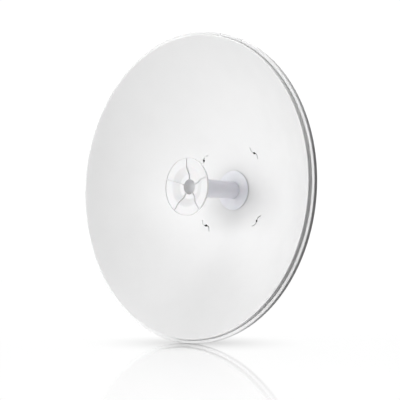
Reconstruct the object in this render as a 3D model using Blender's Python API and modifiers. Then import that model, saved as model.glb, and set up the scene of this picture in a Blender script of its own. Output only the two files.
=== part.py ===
"""Microwave dish antenna, 650 mm across, on a mast bracket.

Metres, +Z up. The dish faces -Y and its axis is horizontal, through the origin.
The origin is the middle of the mast plate's rear face, where the mast is clamped.
Depths are measured along the axis, back from the dish's crest, its foremost circle.
"""

import math

import bmesh
import bpy
from mathutils import Matrix

MM = 0.001
GAP = 0.3 * MM
DRILL_LENGTH = 30 * MM
OVERSHOOT = 1 * MM

# Hexagons as (width across flats, head height, nut height)
STUD_HEXAGON = (8 * MM, 3.5 * MM, 4 * MM)
FOOT_HEXAGON = (10 * MM, 4 * MM, 5 * MM)
BOLT_HEXAGON = (13 * MM, 5.5 * MM, 6.5 * MM)

# Reflector: a pressed steel paraboloid with a stepped rim
CREST_RADIUS = 317 * MM
BOWL_DEPTH = 157.7 * MM
SHEET = 1.6 * MM
LIP_RADIUS = 325 * MM
LIP_DEPTH = 7.5 * MM
SKIRT_DEPTH = 16.2 * MM
FOCAL_LENGTH = CREST_RADIUS**2 / (4 * BOWL_DEPTH)
FEED_HOLE_RADIUS = 34 * MM
LIP_HOLE_CIRCLE = 321.4 * MM
LIP_HOLE_RADIUS = 1.8 * MM
LIP_HOLE_ANGLES = (62.6, 73.4)

# Slots: one S each, across the four studs that carry the hub plate
STUD_CIRCLE = 103 * MM
STUD_ANGLES = tuple(47.5 + 90 * i for i in range(4))
STUD_RADIUS = 2.5 * MM
STUD_CHAMFER = 0.5 * MM
STUD_OVERHANG = 3 * MM
SLOT_LENGTH = 34 * MM
SLOT_WAVE = 25 * MM
SLOT_SWING = 2.5 * MM
SLOT_HALF_WIDTH = 1 * MM

# Feed: a tapered tube between a base flange and the subreflector
FLANGE_RADIUS = 43.1 * MM
FLANGE_FRONT = 151.85 * MM
FLANGE_THICKNESS = 2.6 * MM
TUBE_FRONT_RADIUS = 20.5 * MM
TUBE_REAR_RADIUS = 18 * MM
TUBE_WALL = 2.5 * MM
TUBE_END = 186 * MM
SUB_RADIUS = 60.8 * MM
SUB_FRONT = 1.65 * MM
SUB_LIP_WIDTH = 1.5 * MM
SUB_LIP_HEIGHT = 2 * MM
SUB_SHELL = 3 * MM
SUB_DISH_OUTER = 44 * MM
SUB_DISH_INNER = 23 * MM
SUB_DISH_DEPTH = 9 * MM
SUB_DISH_EASE = 0.22
RECESS_RADIUS = 16 * MM
RECESS_DEPTH = 40 * MM
RIB_COUNT = 5
RIB_HEIGHT = 3 * MM
RIB_DROP = 0.1 * MM
RIB_WIDTH = 1.8 * MM
LOCK_RING_FRONT = 158.5 * MM
LOCK_RING_RADIUS = 46 * MM
LOCK_RING_THICKNESS = 6 * MM
LOCK_RING_ROOT = 42.5 * MM
LOCK_RING_TEETH = 8
BLOCK_WIDTH = 70 * MM
BLOCK_CORNER = 12 * MM
BLOCK_REAR = 205 * MM
CONNECTOR_OFFSET = 16 * MM
CONNECTOR_DEPTH = 190 * MM
CONNECTOR_COLLAR_RADIUS = 8.5 * MM
CONNECTOR_COLLAR = 4 * MM
CONNECTOR_RADIUS = 7 * MM
CONNECTOR_LENGTH = 18 * MM

# Hub plate: flat, behind the reflector, on four spacers, with a port above and below the feed
HUB_FRONT = 168 * MM
HUB_WIDTH = 190 * MM
HUB_CORNER = 20 * MM
HUB_THICKNESS = 3 * MM
HUB_HOLE_RADIUS = 48 * MM
HUB_PORT_RADIUS = 11 * MM
HUB_PORT_Z = 72 * MM
SPACER_RADIUS = 6 * MM

# Elevation brackets: an ear each side of the mast bracket
EAR_THICKNESS = 3 * MM
EAR_HEIGHT = 100 * MM
EAR_REAR = 272 * MM
EAR_CORNER = 24 * MM
FOOT_WIDTH = 25 * MM
FOOT_BOLT_X = 82 * MM
FOOT_BOLT_Z = 35 * MM
FOOT_BOLT_RADIUS = 3 * MM
FOOT_BOLT_SPARE = 8 * MM
PIVOT_DEPTH = 236 * MM
PIVOT_DROP = 35 * MM
LOCK_RISE = 35 * MM
LOCK_ARC = 18

# Mast bracket: a U of plate whose web is the mast plate
MAST_DEPTH = 296 * MM
PLATE_THICKNESS = 4 * MM
MAST_BRACKET_WIDTH = 128 * MM
MAST_PLATE_HEIGHT = 160 * MM
MAST_EAR_HEIGHT = 120 * MM
MAST_EAR_FRONT = 200 * MM
MAST_EAR_CORNER = 20 * MM
MAST_BEND = 7 * MM
MAST_WEB_EDGE = 10 * MM
BOLT_RADIUS = 4 * MM
PIVOT_BOLT_SPARE = 10 * MM

# Clamps: a V strap above and below, for a 60 mm mast that lies on the mast plate
MAST_RADIUS = 30 * MM
CLAMP_RISE = 55 * MM
CLAMP_HEIGHT = 30 * MM
CLAMP_THICKNESS = 4 * MM
CLAMP_HALF_WIDTH = 58 * MM
CLAMP_BOLT_X = 46 * MM
CLAMP_BOLT_END = 72 * MM

BOWL_STATIONS = 12
DISH_STEPS = 72
FEED_STEPS = 48
ROUND_STEPS = 40
BORE_STEPS = 32
PIN_STEPS = 24
HOLE_STEPS = 16
SMALL_HOLE_STEPS = 12

# Dish space: local X and Y are the front view's, local Z points forward, depth 0 at z = 0
DISH = Matrix.Translation((0, -MAST_DEPTH, 0)) @ Matrix.Rotation(math.radians(90), 4, "X")


# Scene

def clear_scene():
    for thing in list(bpy.data.objects):
        bpy.data.objects.remove(thing)
    for collection in list(bpy.data.collections):
        bpy.data.collections.remove(collection)


def new_collection(name):
    collection = bpy.data.collections.new(name)
    bpy.context.scene.collection.children.link(collection)
    return collection


def material(name, colour, roughness, metallic):
    finish = bpy.data.materials.new(name)
    finish.use_nodes = True
    shader = finish.node_tree.nodes["Principled BSDF"]
    shader.inputs["Base Color"].default_value = (*colour, 1)
    shader.inputs["Roughness"].default_value = roughness
    shader.inputs["Metallic"].default_value = metallic
    return finish


def piece(name, mesh, finish, place=None):
    """An object of the antenna, with its own material."""
    thing = bpy.data.objects.new(name, mesh)
    thing.matrix_world = place or Matrix.Identity(4)
    PARTS.objects.link(thing)
    colour, roughness, metallic = finish
    if not mesh.materials:
        mesh.materials.append(None)
    thing.material_slots[0].link = "OBJECT"
    thing.material_slots[0].material = material(name, colour, roughness, metallic)
    return thing


def cutter(name, mesh, place=None):
    """A guide for a Boolean, which isn't part of the antenna."""
    thing = bpy.data.objects.new(name, mesh)
    thing.matrix_world = place or Matrix.Identity(4)
    thing.hide_render = True
    thing.display_type = "WIRE"
    CUTTERS.objects.link(thing)
    return thing


# Meshes

def evaluated_mesh(thing):
    bpy.context.view_layer.update()
    depsgraph = bpy.context.evaluated_depsgraph_get()
    return bpy.data.meshes.new_from_object(thing.evaluated_get(depsgraph))


def weld(mesh):
    """Joins loose caps and turns every face outwards."""
    work = bmesh.new()
    work.from_mesh(mesh)
    bmesh.ops.remove_doubles(work, verts=work.verts, dist=0.002 * MM)
    bmesh.ops.recalc_face_normals(work, faces=work.faces)
    work.to_mesh(mesh)
    work.free()
    return mesh


def smooth(mesh):
    mesh.shade_smooth()
    mesh.set_sharp_from_angle(angle=math.radians(35))
    return mesh


def plate(outlines, thickness):
    """A flat sheet in local XY, centred on z = 0. The outlines after the first are its holes."""
    curve = bpy.data.curves.new("outline", "CURVE")
    curve.dimensions = "2D"
    curve.fill_mode = "BOTH"
    curve.extrude = thickness / 2
    for points in outlines:
        spline = curve.splines.new("POLY")
        spline.points.add(len(points) - 1)
        for point, (x, y) in zip(spline.points, points):
            point.co = (x, y, 0, 1)
        spline.use_cyclic_u = True
    holder = bpy.data.objects.new("outline", curve)
    bpy.context.scene.collection.objects.link(holder)
    mesh = evaluated_mesh(holder)
    bpy.data.objects.remove(holder)
    bpy.data.curves.remove(curve)
    return weld(mesh)


def cylinder(radius, start, end, steps=HOLE_STEPS):
    """A bar along local Z between two heights, hexagonal with six steps."""
    work = bmesh.new()
    place = Matrix.Translation((0, 0, (start + end) / 2))
    bmesh.ops.create_cone(
        work, cap_ends=True, segments=steps, radius1=radius, radius2=radius, depth=end - start, matrix=place
    )
    mesh = bpy.data.meshes.new("cylinder")
    work.to_mesh(mesh)
    work.free()
    return mesh


def drill(radius, steps=HOLE_STEPS):
    """A cutter along local Z for a hole that clears a bolt of this radius by the gap."""
    return cylinder(radius + GAP, -DRILL_LENGTH / 2, DRILL_LENGTH / 2, steps)


def turned(profile, steps=ROUND_STEPS):
    """A shape turned about local Z from (radius, height) points, a loop unless it starts on the axis."""
    count = len(profile)
    closed = profile[0][0] > 0
    twice_area = sum(
        profile[i][0] * profile[(i + 1) % count][1] - profile[(i + 1) % count][0] * profile[i][1]
        for i in range(count)
    )
    if twice_area > 0:
        profile = profile[::-1]
    edges = [(i, (i + 1) % count) for i in range(count if closed else count - 1)]
    mesh = bpy.data.meshes.new("profile")
    mesh.from_pydata([(radius, 0, height) for radius, height in profile], edges, [])
    holder = bpy.data.objects.new("profile", mesh)
    bpy.context.scene.collection.objects.link(holder)
    screw = holder.modifiers.new("turn", "SCREW")
    screw.steps = steps
    screw.render_steps = steps
    screw.use_merge_vertices = True
    screw.merge_threshold = 0.01 * MM
    result = evaluated_mesh(holder)
    bpy.data.objects.remove(holder)
    return smooth(weld(result))


def combined(base, others, operation):
    """The base mesh joined with, cut by or kept inside other meshes, each given as (mesh, matrix)."""
    holder = bpy.data.objects.new("base", base)
    bpy.context.scene.collection.objects.link(holder)
    tools = []
    for mesh, place in others:
        tool = bpy.data.objects.new("tool", mesh)
        tool.matrix_world = place
        bpy.context.scene.collection.objects.link(tool)
        boolean = holder.modifiers.new(operation, "BOOLEAN")
        boolean.operation = operation
        boolean.object = tool
        boolean.solver = "EXACT"
        tools.append(tool)
    result = evaluated_mesh(holder)
    for thing in [holder, *tools]:
        bpy.data.objects.remove(thing)
    return smooth(result)


def cut(thing, tools):
    for tool in tools:
        boolean = thing.modifiers.new(tool.name, "BOOLEAN")
        boolean.operation = "DIFFERENCE"
        boolean.object = tool
        boolean.solver = "EXACT"


# Outlines

def circle(radius, centre=(0, 0), steps=HOLE_STEPS):
    return [
        (
            centre[0] + radius * math.cos(2 * math.pi * i / steps),
            centre[1] + radius * math.sin(2 * math.pi * i / steps),
        )
        for i in range(steps)
    ]


def rounded(low, high, radius, steps=4):
    """A rectangle between two corners, with rounded ones."""
    points = []
    for quarter, (cx, cy) in enumerate(
        (
            (high[0] - radius, high[1] - radius),
            (low[0] + radius, high[1] - radius),
            (low[0] + radius, low[1] + radius),
            (high[0] - radius, low[1] + radius),
        )
    ):
        for i in range(steps + 1):
            angle = math.radians(90 * (quarter + i / steps))
            points.append((cx + radius * math.cos(angle), cy + radius * math.sin(angle)))
    return points


def at_angle(centre, distance, angle):
    turn = math.radians(angle)
    return (centre[0] + distance * math.cos(turn), centre[1] + distance * math.sin(turn))


def arc_slot(centre, radius, half_width, middle, spread, steps=8):
    """A slot that follows an arc, with round ends. Angles are in degrees."""
    def end(angle, start):
        middle_of_end = at_angle(centre, radius, angle)
        return [at_angle(middle_of_end, half_width, start + 30 * i) for i in range(1, 6)]

    angles = [middle - spread + 2 * spread * i / steps for i in range(steps + 1)]
    outer = [at_angle(centre, radius + half_width, angle) for angle in angles]
    inner = [at_angle(centre, radius - half_width, angle) for angle in reversed(angles)]
    return outer + end(angles[-1], angles[-1]) + inner + end(angles[0], angles[0] + 180)


def s_slot():
    """The slot's outline: a wave along X, swelling to a round hole for the stud."""
    steps = 28
    hole = STUD_RADIUS + GAP
    upper = []
    lower = []
    for i in range(steps + 1):
        along = SLOT_LENGTH * (i / steps - 0.5)
        phase = 2 * math.pi * along / SLOT_WAVE
        swing = SLOT_SWING * math.sin(phase)
        slope = SLOT_SWING * math.cos(phase) * 2 * math.pi / SLOT_WAVE
        length = math.hypot(1, slope)
        half = max(SLOT_HALF_WIDTH, math.sqrt(max(hole**2 - (along * length) ** 2, 0)))
        upper.append((along - half * slope / length, swing + half / length))
        lower.append((along + half * slope / length, swing - half / length))
    return upper + lower[::-1]


# Shared shapes

def bolt(radius, hexagon, length, nut_start=None):
    """A hexagon bolt along local Z, its head below z = 0, with a nut on it where one is asked for."""
    flats, head_height, nut_height = hexagon
    corner = flats / math.sqrt(3)
    extras = [(cylinder(corner, -head_height, 0, 6), Matrix.Identity(4))]
    if nut_start is not None:
        extras.append((cylinder(corner, nut_start, nut_start + nut_height, 6), Matrix.Identity(4)))
    return combined(cylinder(radius, -head_height / 2, length), extras, "UNION")


def loose_nut(radius, hexagon):
    """A hexagon nut, centred on the local origin, whose hole clears its bolt by the gap."""
    flats, _, nut_height = hexagon
    return plate([circle(flats / math.sqrt(3), steps=6), circle(radius + GAP)], nut_height)


def facing(direction, point):
    """A place whose local Z points along direction."""
    axes = {
        "+X": Matrix.Rotation(math.radians(90), 4, "Y"),
        "-X": Matrix.Rotation(math.radians(-90), 4, "Y"),
        "+Y": Matrix.Rotation(math.radians(-90), 4, "X"),
        "-Y": Matrix.Rotation(math.radians(90), 4, "X"),
        "-Z": Matrix.Rotation(math.radians(180), 4, "X"),
    }
    return Matrix.Translation(point) @ axes[direction]


def y_at(depth):
    """The world Y of a depth behind the dish's crest."""
    return depth - MAST_DEPTH


# Reflector

def bowl_depth(radius):
    return BOWL_DEPTH - radius**2 / (4 * FOCAL_LENGTH)


def bowl_back(radius):
    """The point on the sheet's back behind the front surface at this radius, as (radius, depth)."""
    slope = radius / (2 * FOCAL_LENGTH)
    length = math.hypot(1, slope)
    return (radius + SHEET * slope / length, bowl_depth(radius) + SHEET / length)


def reflector():
    wall = CREST_RADIUS - SHEET
    last = wall - (bowl_back(wall)[0] - wall)
    shares = [i / BOWL_STATIONS for i in range(BOWL_STATIONS + 1)]
    fronts = [FEED_HOLE_RADIUS + (CREST_RADIUS - FEED_HOLE_RADIUS) * share for share in shares]
    backs = [FEED_HOLE_RADIUS + (last - FEED_HOLE_RADIUS) * share for share in shares[1:]]
    profile = [(radius, -bowl_depth(radius)) for radius in fronts]
    profile += [
        (CREST_RADIUS, -LIP_DEPTH),
        (LIP_RADIUS, -LIP_DEPTH),
        (LIP_RADIUS, -SKIRT_DEPTH),
        (LIP_RADIUS - SHEET, -SKIRT_DEPTH),
        (LIP_RADIUS - SHEET, -LIP_DEPTH - SHEET),
        (wall, -LIP_DEPTH - SHEET),
    ]
    profile += [(bowl_back(radius)[0], -bowl_back(radius)[1]) for radius in reversed(backs)]
    profile.append((FEED_HOLE_RADIUS, -bowl_back(FEED_HOLE_RADIUS)[1]))
    dish = piece("reflector", turned(profile, DISH_STEPS), PAINT, DISH)
    cut(dish, slot_cutters() + lip_hole_cutters())


def slot_cutters():
    tools = []
    for number, angle in enumerate(STUD_ANGLES, 1):
        mesh = plate([s_slot()], DRILL_LENGTH)
        turn = math.radians(angle - 90)
        place = DISH @ Matrix.Rotation(turn, 4, "Z")
        place = place @ Matrix.Translation((0, STUD_CIRCLE, -bowl_depth(STUD_CIRCLE)))
        tools.append(cutter(f"slot_cutter_{number}", mesh, place))
    return tools


def lip_hole_cutters():
    tools = []
    for number, angle in enumerate(LIP_HOLE_ANGLES, 1):
        mesh = cylinder(LIP_HOLE_RADIUS, -2 * SHEET, 2 * SHEET, SMALL_HOLE_STEPS)
        place = DISH @ Matrix.Rotation(math.radians(angle), 4, "Z")
        place = place @ Matrix.Translation((LIP_HOLE_CIRCLE, 0, -LIP_DEPTH - SHEET / 2))
        tools.append(cutter(f"lip_hole_cutter_{number}", mesh, place))
    return tools


# Feed

def sub_depth(radius):
    """Depth of the subreflector's front surface: flat outside, a cone with eased ends, flat by the recess."""
    share = (SUB_DISH_OUTER - radius) / (SUB_DISH_OUTER - SUB_DISH_INNER)
    share = min(max(share, 0), 1)
    near = min(share, 1 - share)
    sunk = near**2 / (2 * SUB_DISH_EASE) if near < SUB_DISH_EASE else near - SUB_DISH_EASE / 2
    sunk /= 1 - SUB_DISH_EASE
    return SUB_FRONT + SUB_LIP_HEIGHT + SUB_DISH_DEPTH * (sunk if share < 0.5 else 1 - sunk)


def tube_start():
    return sub_depth(SUB_DISH_INNER) + SUB_SHELL + GAP


def hub_radius(depth):
    """Radius of the subreflector's hub where it fills the tapered tube."""
    share = (depth - tube_start()) / (FLANGE_FRONT - GAP - tube_start())
    taper = TUBE_FRONT_RADIUS - TUBE_REAR_RADIUS
    return TUBE_FRONT_RADIUS - TUBE_WALL - GAP - taper * max(share, 0)


def subreflector():
    recess_floor = SUB_FRONT + RECESS_DEPTH
    hub_end = recess_floor + SUB_SHELL
    curve = [SUB_DISH_INNER + (SUB_DISH_OUTER - SUB_DISH_INNER) * i / 6 for i in range(7)]
    profile = [(0, -recess_floor), (RECESS_RADIUS, -recess_floor)]
    profile.append((RECESS_RADIUS, -sub_depth(RECESS_RADIUS)))
    profile += [(radius, -sub_depth(radius)) for radius in curve]
    profile += [
        (SUB_RADIUS - SUB_LIP_WIDTH, -sub_depth(SUB_RADIUS)),
        (SUB_RADIUS - SUB_LIP_WIDTH, -SUB_FRONT),
        (SUB_RADIUS, -SUB_FRONT),
        (SUB_RADIUS, -sub_depth(SUB_RADIUS) - SUB_SHELL),
    ]
    profile += [(radius, -sub_depth(radius) - SUB_SHELL) for radius in reversed(curve)]
    profile += [
        (hub_radius(tube_start()), GAP - tube_start()),
        (hub_radius(tube_start()), -tube_start()),
        (hub_radius(hub_end), -hub_end),
        (0, -hub_end),
    ]
    body = turned(profile, FEED_STEPS)
    mesh = combined(body, [rib(90 + 360 * i / RIB_COUNT) for i in range(RIB_COUNT)], "UNION")
    piece("subreflector", mesh, PLASTIC, DISH)


def rib(angle):
    """A radial wall on the subreflector's front that stays under the lip, as (mesh, matrix)."""
    inner = RECESS_RADIUS + RIB_WIDTH / 2
    outer = SUB_RADIUS - SUB_LIP_WIDTH / 2
    steps = 10
    radii = [inner + (outer - inner) * i / steps for i in range(steps + 1)]
    top = [(radius, min(RIB_HEIGHT - sub_depth(radius), -SUB_FRONT - RIB_DROP)) for radius in radii]
    bottom = [(radius, -SUB_SHELL / 2 - sub_depth(radius)) for radius in reversed(radii)]
    upright = Matrix.Rotation(math.radians(90), 4, "X")
    return plate([top + bottom], RIB_WIDTH), Matrix.Rotation(math.radians(angle), 4, "Z") @ upright


def feed_tube():
    foot = FLANGE_FRONT - GAP
    outer = [(TUBE_FRONT_RADIUS, tube_start()), (TUBE_REAR_RADIUS, foot), (TUBE_REAR_RADIUS, TUBE_END)]
    inner = [(radius - TUBE_WALL, depth) for radius, depth in reversed(outer)]
    profile = [(radius, -depth) for radius, depth in outer + inner]
    piece("feed_tube", turned(profile), PLASTIC, DISH)


def feed_flange():
    hole = TUBE_REAR_RADIUS + GAP
    spigot = FEED_HOLE_RADIUS - GAP
    back = FLANGE_FRONT + FLANGE_THICKNESS
    profile = [
        (hole, -FLANGE_FRONT),
        (FLANGE_RADIUS, -FLANGE_FRONT),
        (FLANGE_RADIUS, -back),
        (spigot, -back),
        (spigot, -LOCK_RING_FRONT + GAP),
        (hole, -LOCK_RING_FRONT + GAP),
    ]
    piece("feed_flange", turned(profile, FEED_STEPS), PLASTIC, DISH)


def lock_ring():
    outline = []
    for tooth in range(LOCK_RING_TEETH):
        for share, radius in (
            (0, LOCK_RING_RADIUS),
            (0.35, LOCK_RING_RADIUS),
            (0.42, LOCK_RING_ROOT),
            (0.78, LOCK_RING_ROOT),
            (0.85, LOCK_RING_RADIUS),
        ):
            outline.append(at_angle((0, 0), radius, 360 * (tooth + share) / LOCK_RING_TEETH))
    mesh = plate([outline, circle(TUBE_REAR_RADIUS + GAP, steps=BORE_STEPS)], LOCK_RING_THICKNESS)
    place = DISH @ Matrix.Translation((0, 0, -LOCK_RING_FRONT - LOCK_RING_THICKNESS / 2))
    piece("feed_lock_ring", mesh, BLACK, place)


def feed_block():
    """The housing behind the ring, solid but for the socket that takes the tube's end."""
    front = LOCK_RING_FRONT + LOCK_RING_THICKNESS + GAP
    half = BLOCK_WIDTH / 2
    middle = (front + BLOCK_REAR) / 2
    body = plate([rounded((-half, -half), (half, half), BLOCK_CORNER)], BLOCK_REAR - front)
    socket_floor = middle - TUBE_END - GAP
    socket = cylinder(TUBE_REAR_RADIUS + GAP, socket_floor, DRILL_LENGTH, BORE_STEPS)
    mesh = combined(body, [(socket, Matrix.Identity(4))], "DIFFERENCE")
    piece("feed_block", mesh, BLACK, DISH @ Matrix.Translation((0, 0, -middle)))


def feed_connectors():
    top = -BLOCK_WIDTH / 2 - GAP
    profile = [
        (0, 0),
        (CONNECTOR_COLLAR_RADIUS, 0),
        (CONNECTOR_COLLAR_RADIUS, CONNECTOR_COLLAR),
        (CONNECTOR_RADIUS, CONNECTOR_COLLAR),
        (CONNECTOR_RADIUS, CONNECTOR_LENGTH),
        (0, CONNECTOR_LENGTH),
    ]
    for side, x in (("left", -CONNECTOR_OFFSET), ("right", CONNECTOR_OFFSET)):
        place = facing("-Z", (x, y_at(CONNECTOR_DEPTH), top))
        piece(f"feed_connector_{side}", turned(profile, PIN_STEPS), NICKEL, place)


# Hub plate and its studs

def stud_points():
    for number, angle in enumerate(STUD_ANGLES, 1):
        turn = math.radians(angle)
        yield number, STUD_CIRCLE * math.cos(turn), STUD_CIRCLE * math.sin(turn)


def hub_plate():
    half = HUB_WIDTH / 2
    outlines = [rounded((-half, -half), (half, half), HUB_CORNER), circle(HUB_HOLE_RADIUS, steps=ROUND_STEPS)]
    outlines += [circle(STUD_RADIUS + GAP, (x, z)) for _, x, z in stud_points()]
    outlines += [
        circle(FOOT_BOLT_RADIUS + GAP, (x, z))
        for x in (-FOOT_BOLT_X, FOOT_BOLT_X)
        for z in (-FOOT_BOLT_Z, FOOT_BOLT_Z)
    ]
    outlines += [circle(HUB_PORT_RADIUS, (0, z), PIN_STEPS) for z in (-HUB_PORT_Z, HUB_PORT_Z)]
    place = DISH @ Matrix.Translation((0, 0, -HUB_FRONT - HUB_THICKNESS / 2))
    piece("hub_plate", plate(outlines, HUB_THICKNESS), ZINC, place)


def spacer(x, z):
    """A tube from the hub plate to the reflector, its front end following the bowl's back."""
    mesh = plate([circle(SPACER_RADIUS), circle(STUD_RADIUS + GAP)], SHEET)
    mesh.transform(Matrix.Translation((x, z, 0)))
    for vertex in mesh.vertices:
        if vertex.co.z > 0:
            radius = math.hypot(vertex.co.x, vertex.co.y)
            sheet_depth = SHEET * math.hypot(1, radius / (2 * FOCAL_LENGTH))
            vertex.co.z = -bowl_depth(radius) - sheet_depth - GAP
        else:
            vertex.co.z = GAP - HUB_FRONT
    return mesh


def studs():
    tip = bowl_depth(STUD_CIRCLE) - GAP
    nut_front = HUB_FRONT + HUB_THICKNESS + GAP
    nut_height = STUD_HEXAGON[2]
    end = nut_front + nut_height + STUD_OVERHANG
    profile = [
        (0, -tip),
        (STUD_RADIUS - STUD_CHAMFER, -tip),
        (STUD_RADIUS, -tip - STUD_CHAMFER),
        (STUD_RADIUS, -end + STUD_CHAMFER),
        (STUD_RADIUS - STUD_CHAMFER, -end),
        (0, -end),
    ]
    shaft = turned(profile, HOLE_STEPS)
    nut = loose_nut(STUD_RADIUS, STUD_HEXAGON)
    for number, x, z in stud_points():
        place = DISH @ Matrix.Translation((x, z, 0))
        piece(f"stud_{number}", shaft.copy(), ZINC, place)
        piece(f"spacer_{number}", spacer(x, z), BLACK, DISH)
        seat = Matrix.Translation((0, 0, -nut_front - nut_height / 2))
        piece(f"stud_nut_{number}", nut.copy(), ZINC, place @ seat)


# Elevation brackets

def side_view(outlines, thickness):
    """A plate in the YZ plane, made from outlines of (y, z)."""
    mesh = plate(outlines, thickness)
    mesh.transform(Matrix(((0, 0, 1, 0), (1, 0, 0, 0), (0, 1, 0, 0), (0, 0, 0, 1))))
    return mesh


def ear_bracket(side, sign):
    inner = MAST_BRACKET_WIDTH / 2 + GAP
    outer = inner + EAR_THICKNESS
    front = y_at(HUB_FRONT + HUB_THICKNESS) + GAP
    rear = y_at(EAR_REAR)
    half = EAR_HEIGHT / 2
    angle = [
        (inner, front),
        (outer + FOOT_WIDTH, front),
        (outer + FOOT_WIDTH, front + EAR_THICKNESS),
        (outer, front + EAR_THICKNESS),
        (outer, rear),
        (inner, rear),
    ]
    body = plate([angle], EAR_HEIGHT)
    pivot = (y_at(PIVOT_DEPTH), -PIVOT_DROP)
    low = (front - FOOT_WIDTH - OVERSHOOT, -half - OVERSHOOT)
    high = (rear - OVERSHOOT, half + OVERSHOOT)
    outline = rounded(low, high, EAR_CORNER)
    holes = [
        circle(BOLT_RADIUS + GAP, pivot),
        arc_slot(pivot, PIVOT_DROP + LOCK_RISE, BOLT_RADIUS + GAP, 90, LOCK_ARC),
    ]
    keep = side_view([outline, *holes], 4 * MAST_BRACKET_WIDTH)
    mesh = combined(body, [(keep, Matrix.Identity(4))], "INTERSECT")
    hole = drill(FOOT_BOLT_RADIUS)
    drills = [(hole, facing("+Y", (FOOT_BOLT_X, front, z))) for z in (-FOOT_BOLT_Z, FOOT_BOLT_Z)]
    mesh = combined(mesh, drills, "DIFFERENCE")
    if sign < 0:
        mesh.transform(Matrix.Scale(-1, 4, (1, 0, 0)))
        mesh.flip_normals()
    piece(f"ear_bracket_{side}", mesh, ZINC)


def ear_brackets():
    for side, sign in (("left", -1), ("right", 1)):
        ear_bracket(side, sign)


def foot_bolts():
    foot_rear = y_at(HUB_FRONT + HUB_THICKNESS) + GAP + EAR_THICKNESS
    stack = EAR_THICKNESS + HUB_THICKNESS + 3 * GAP
    mesh = bolt(FOOT_BOLT_RADIUS, FOOT_HEXAGON, stack + FOOT_BOLT_SPARE, stack)
    places = [(x, z) for x in (-FOOT_BOLT_X, FOOT_BOLT_X) for z in (-FOOT_BOLT_Z, FOOT_BOLT_Z)]
    for number, (x, z) in enumerate(places, 1):
        piece(f"foot_bolt_{number}", mesh.copy(), ZINC, facing("-Y", (x, foot_rear + GAP, z)))


def pivot_and_lock_bolts():
    ear_face = MAST_BRACKET_WIDTH / 2 + GAP + EAR_THICKNESS + GAP
    stack = EAR_THICKNESS + PLATE_THICKNESS + 3 * GAP
    mesh = bolt(BOLT_RADIUS, BOLT_HEXAGON, stack + PIVOT_BOLT_SPARE, stack)
    for side, sign, direction in (("left", -1, "+X"), ("right", 1, "-X")):
        for kind, z in (("pivot", -PIVOT_DROP), ("lock", LOCK_RISE)):
            place = facing(direction, (sign * ear_face, y_at(PIVOT_DEPTH), z))
            piece(f"{kind}_bolt_{side}", mesh.copy(), ZINC, place)


# Mast bracket and clamps

def mast_bracket():
    half = MAST_BRACKET_WIDTH / 2
    front = y_at(MAST_EAR_FRONT)
    inside = MAST_BEND - PLATE_THICKNESS

    def bend(sign, radius, steps=4):
        middle = half - MAST_BEND
        arc = [math.radians(90 * i / steps) for i in range(steps + 1)]
        return [(sign * (middle + radius * math.cos(a)), -MAST_BEND + radius * math.sin(a)) for a in arc]

    outline = [(half, front)] + bend(1, MAST_BEND) + bend(-1, MAST_BEND)[::-1] + [(-half, front)]
    outline += [(-half + PLATE_THICKNESS, front)] + bend(-1, inside)
    outline += bend(1, inside)[::-1] + [(half - PLATE_THICKNESS, front)]
    body = plate([outline], MAST_PLATE_HEIGHT)
    top = MAST_PLATE_HEIGHT / 2 + OVERSHOOT
    ear_top = MAST_EAR_HEIGHT / 2
    corner = (front - OVERSHOOT + MAST_EAR_CORNER, ear_top - MAST_EAR_CORNER)
    side = [(OVERSHOOT, top), (-MAST_WEB_EDGE, top), (-MAST_WEB_EDGE, ear_top)]
    side += [at_angle(corner, MAST_EAR_CORNER, 90 + 22.5 * i) for i in range(5)]
    side += [(y, -z) for y, z in reversed(side)]
    holes = [circle(BOLT_RADIUS + GAP, (y_at(PIVOT_DEPTH), z)) for z in (-PIVOT_DROP, LOCK_RISE)]
    keep = side_view([side, *holes], 2 * MAST_BRACKET_WIDTH)
    mesh = combined(body, [(keep, Matrix.Identity(4))], "INTERSECT")
    hole = drill(BOLT_RADIUS)
    drills = [(hole, facing("+Y", (x, 0, z))) for _, x, z in clamp_points()]
    piece("mast_bracket", combined(mesh, drills, "DIFFERENCE"), ZINC)


def clamp_points():
    places = [(x, z) for z in (-CLAMP_RISE, CLAMP_RISE) for x in (-CLAMP_BOLT_X, CLAMP_BOLT_X)]
    for number, (x, z) in enumerate(places, 1):
        yield number, x, z


def clamp_apex():
    """The Y of the V's inner corner, whose two sides clear the mast by the gap."""
    return MAST_RADIUS + (MAST_RADIUS + GAP) * math.sqrt(2)


def clamps():
    apex = clamp_apex()
    ear = apex - MAST_RADIUS
    outer = ear + CLAMP_THICKNESS
    outer_apex = apex + CLAMP_THICKNESS * math.sqrt(2)
    right = [(CLAMP_HALF_WIDTH, ear), (CLAMP_HALF_WIDTH, outer), (outer_apex - outer, outer)]
    outline = right + [(0, outer_apex)] + [(-x, y) for x, y in reversed(right)]
    outline += [(-MAST_RADIUS, ear), (0, apex), (MAST_RADIUS, ear)]
    body = plate([outline], CLAMP_HEIGHT)
    hole = drill(BOLT_RADIUS)
    drills = [(hole, facing("+Y", (x, ear, 0))) for x in (-CLAMP_BOLT_X, CLAMP_BOLT_X)]
    mesh = combined(body, drills, "DIFFERENCE")
    for name, z in (("upper", CLAMP_RISE), ("lower", -CLAMP_RISE)):
        piece(f"mast_clamp_{name}", mesh.copy(), ZINC, Matrix.Translation((0, 0, z)))


def clamp_bolts():
    head = -PLATE_THICKNESS - GAP
    long_bolt = bolt(BOLT_RADIUS, BOLT_HEXAGON, CLAMP_BOLT_END - head)
    nut = loose_nut(BOLT_RADIUS, BOLT_HEXAGON)
    nut_height = BOLT_HEXAGON[2]
    seat = clamp_apex() - MAST_RADIUS + CLAMP_THICKNESS + GAP + nut_height / 2
    for number, x, z in clamp_points():
        piece(f"clamp_bolt_{number}", long_bolt.copy(), ZINC, facing("+Y", (x, head, z)))
        piece(f"clamp_nut_{number}", nut.copy(), ZINC, facing("+Y", (x, seat, z)))


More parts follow.
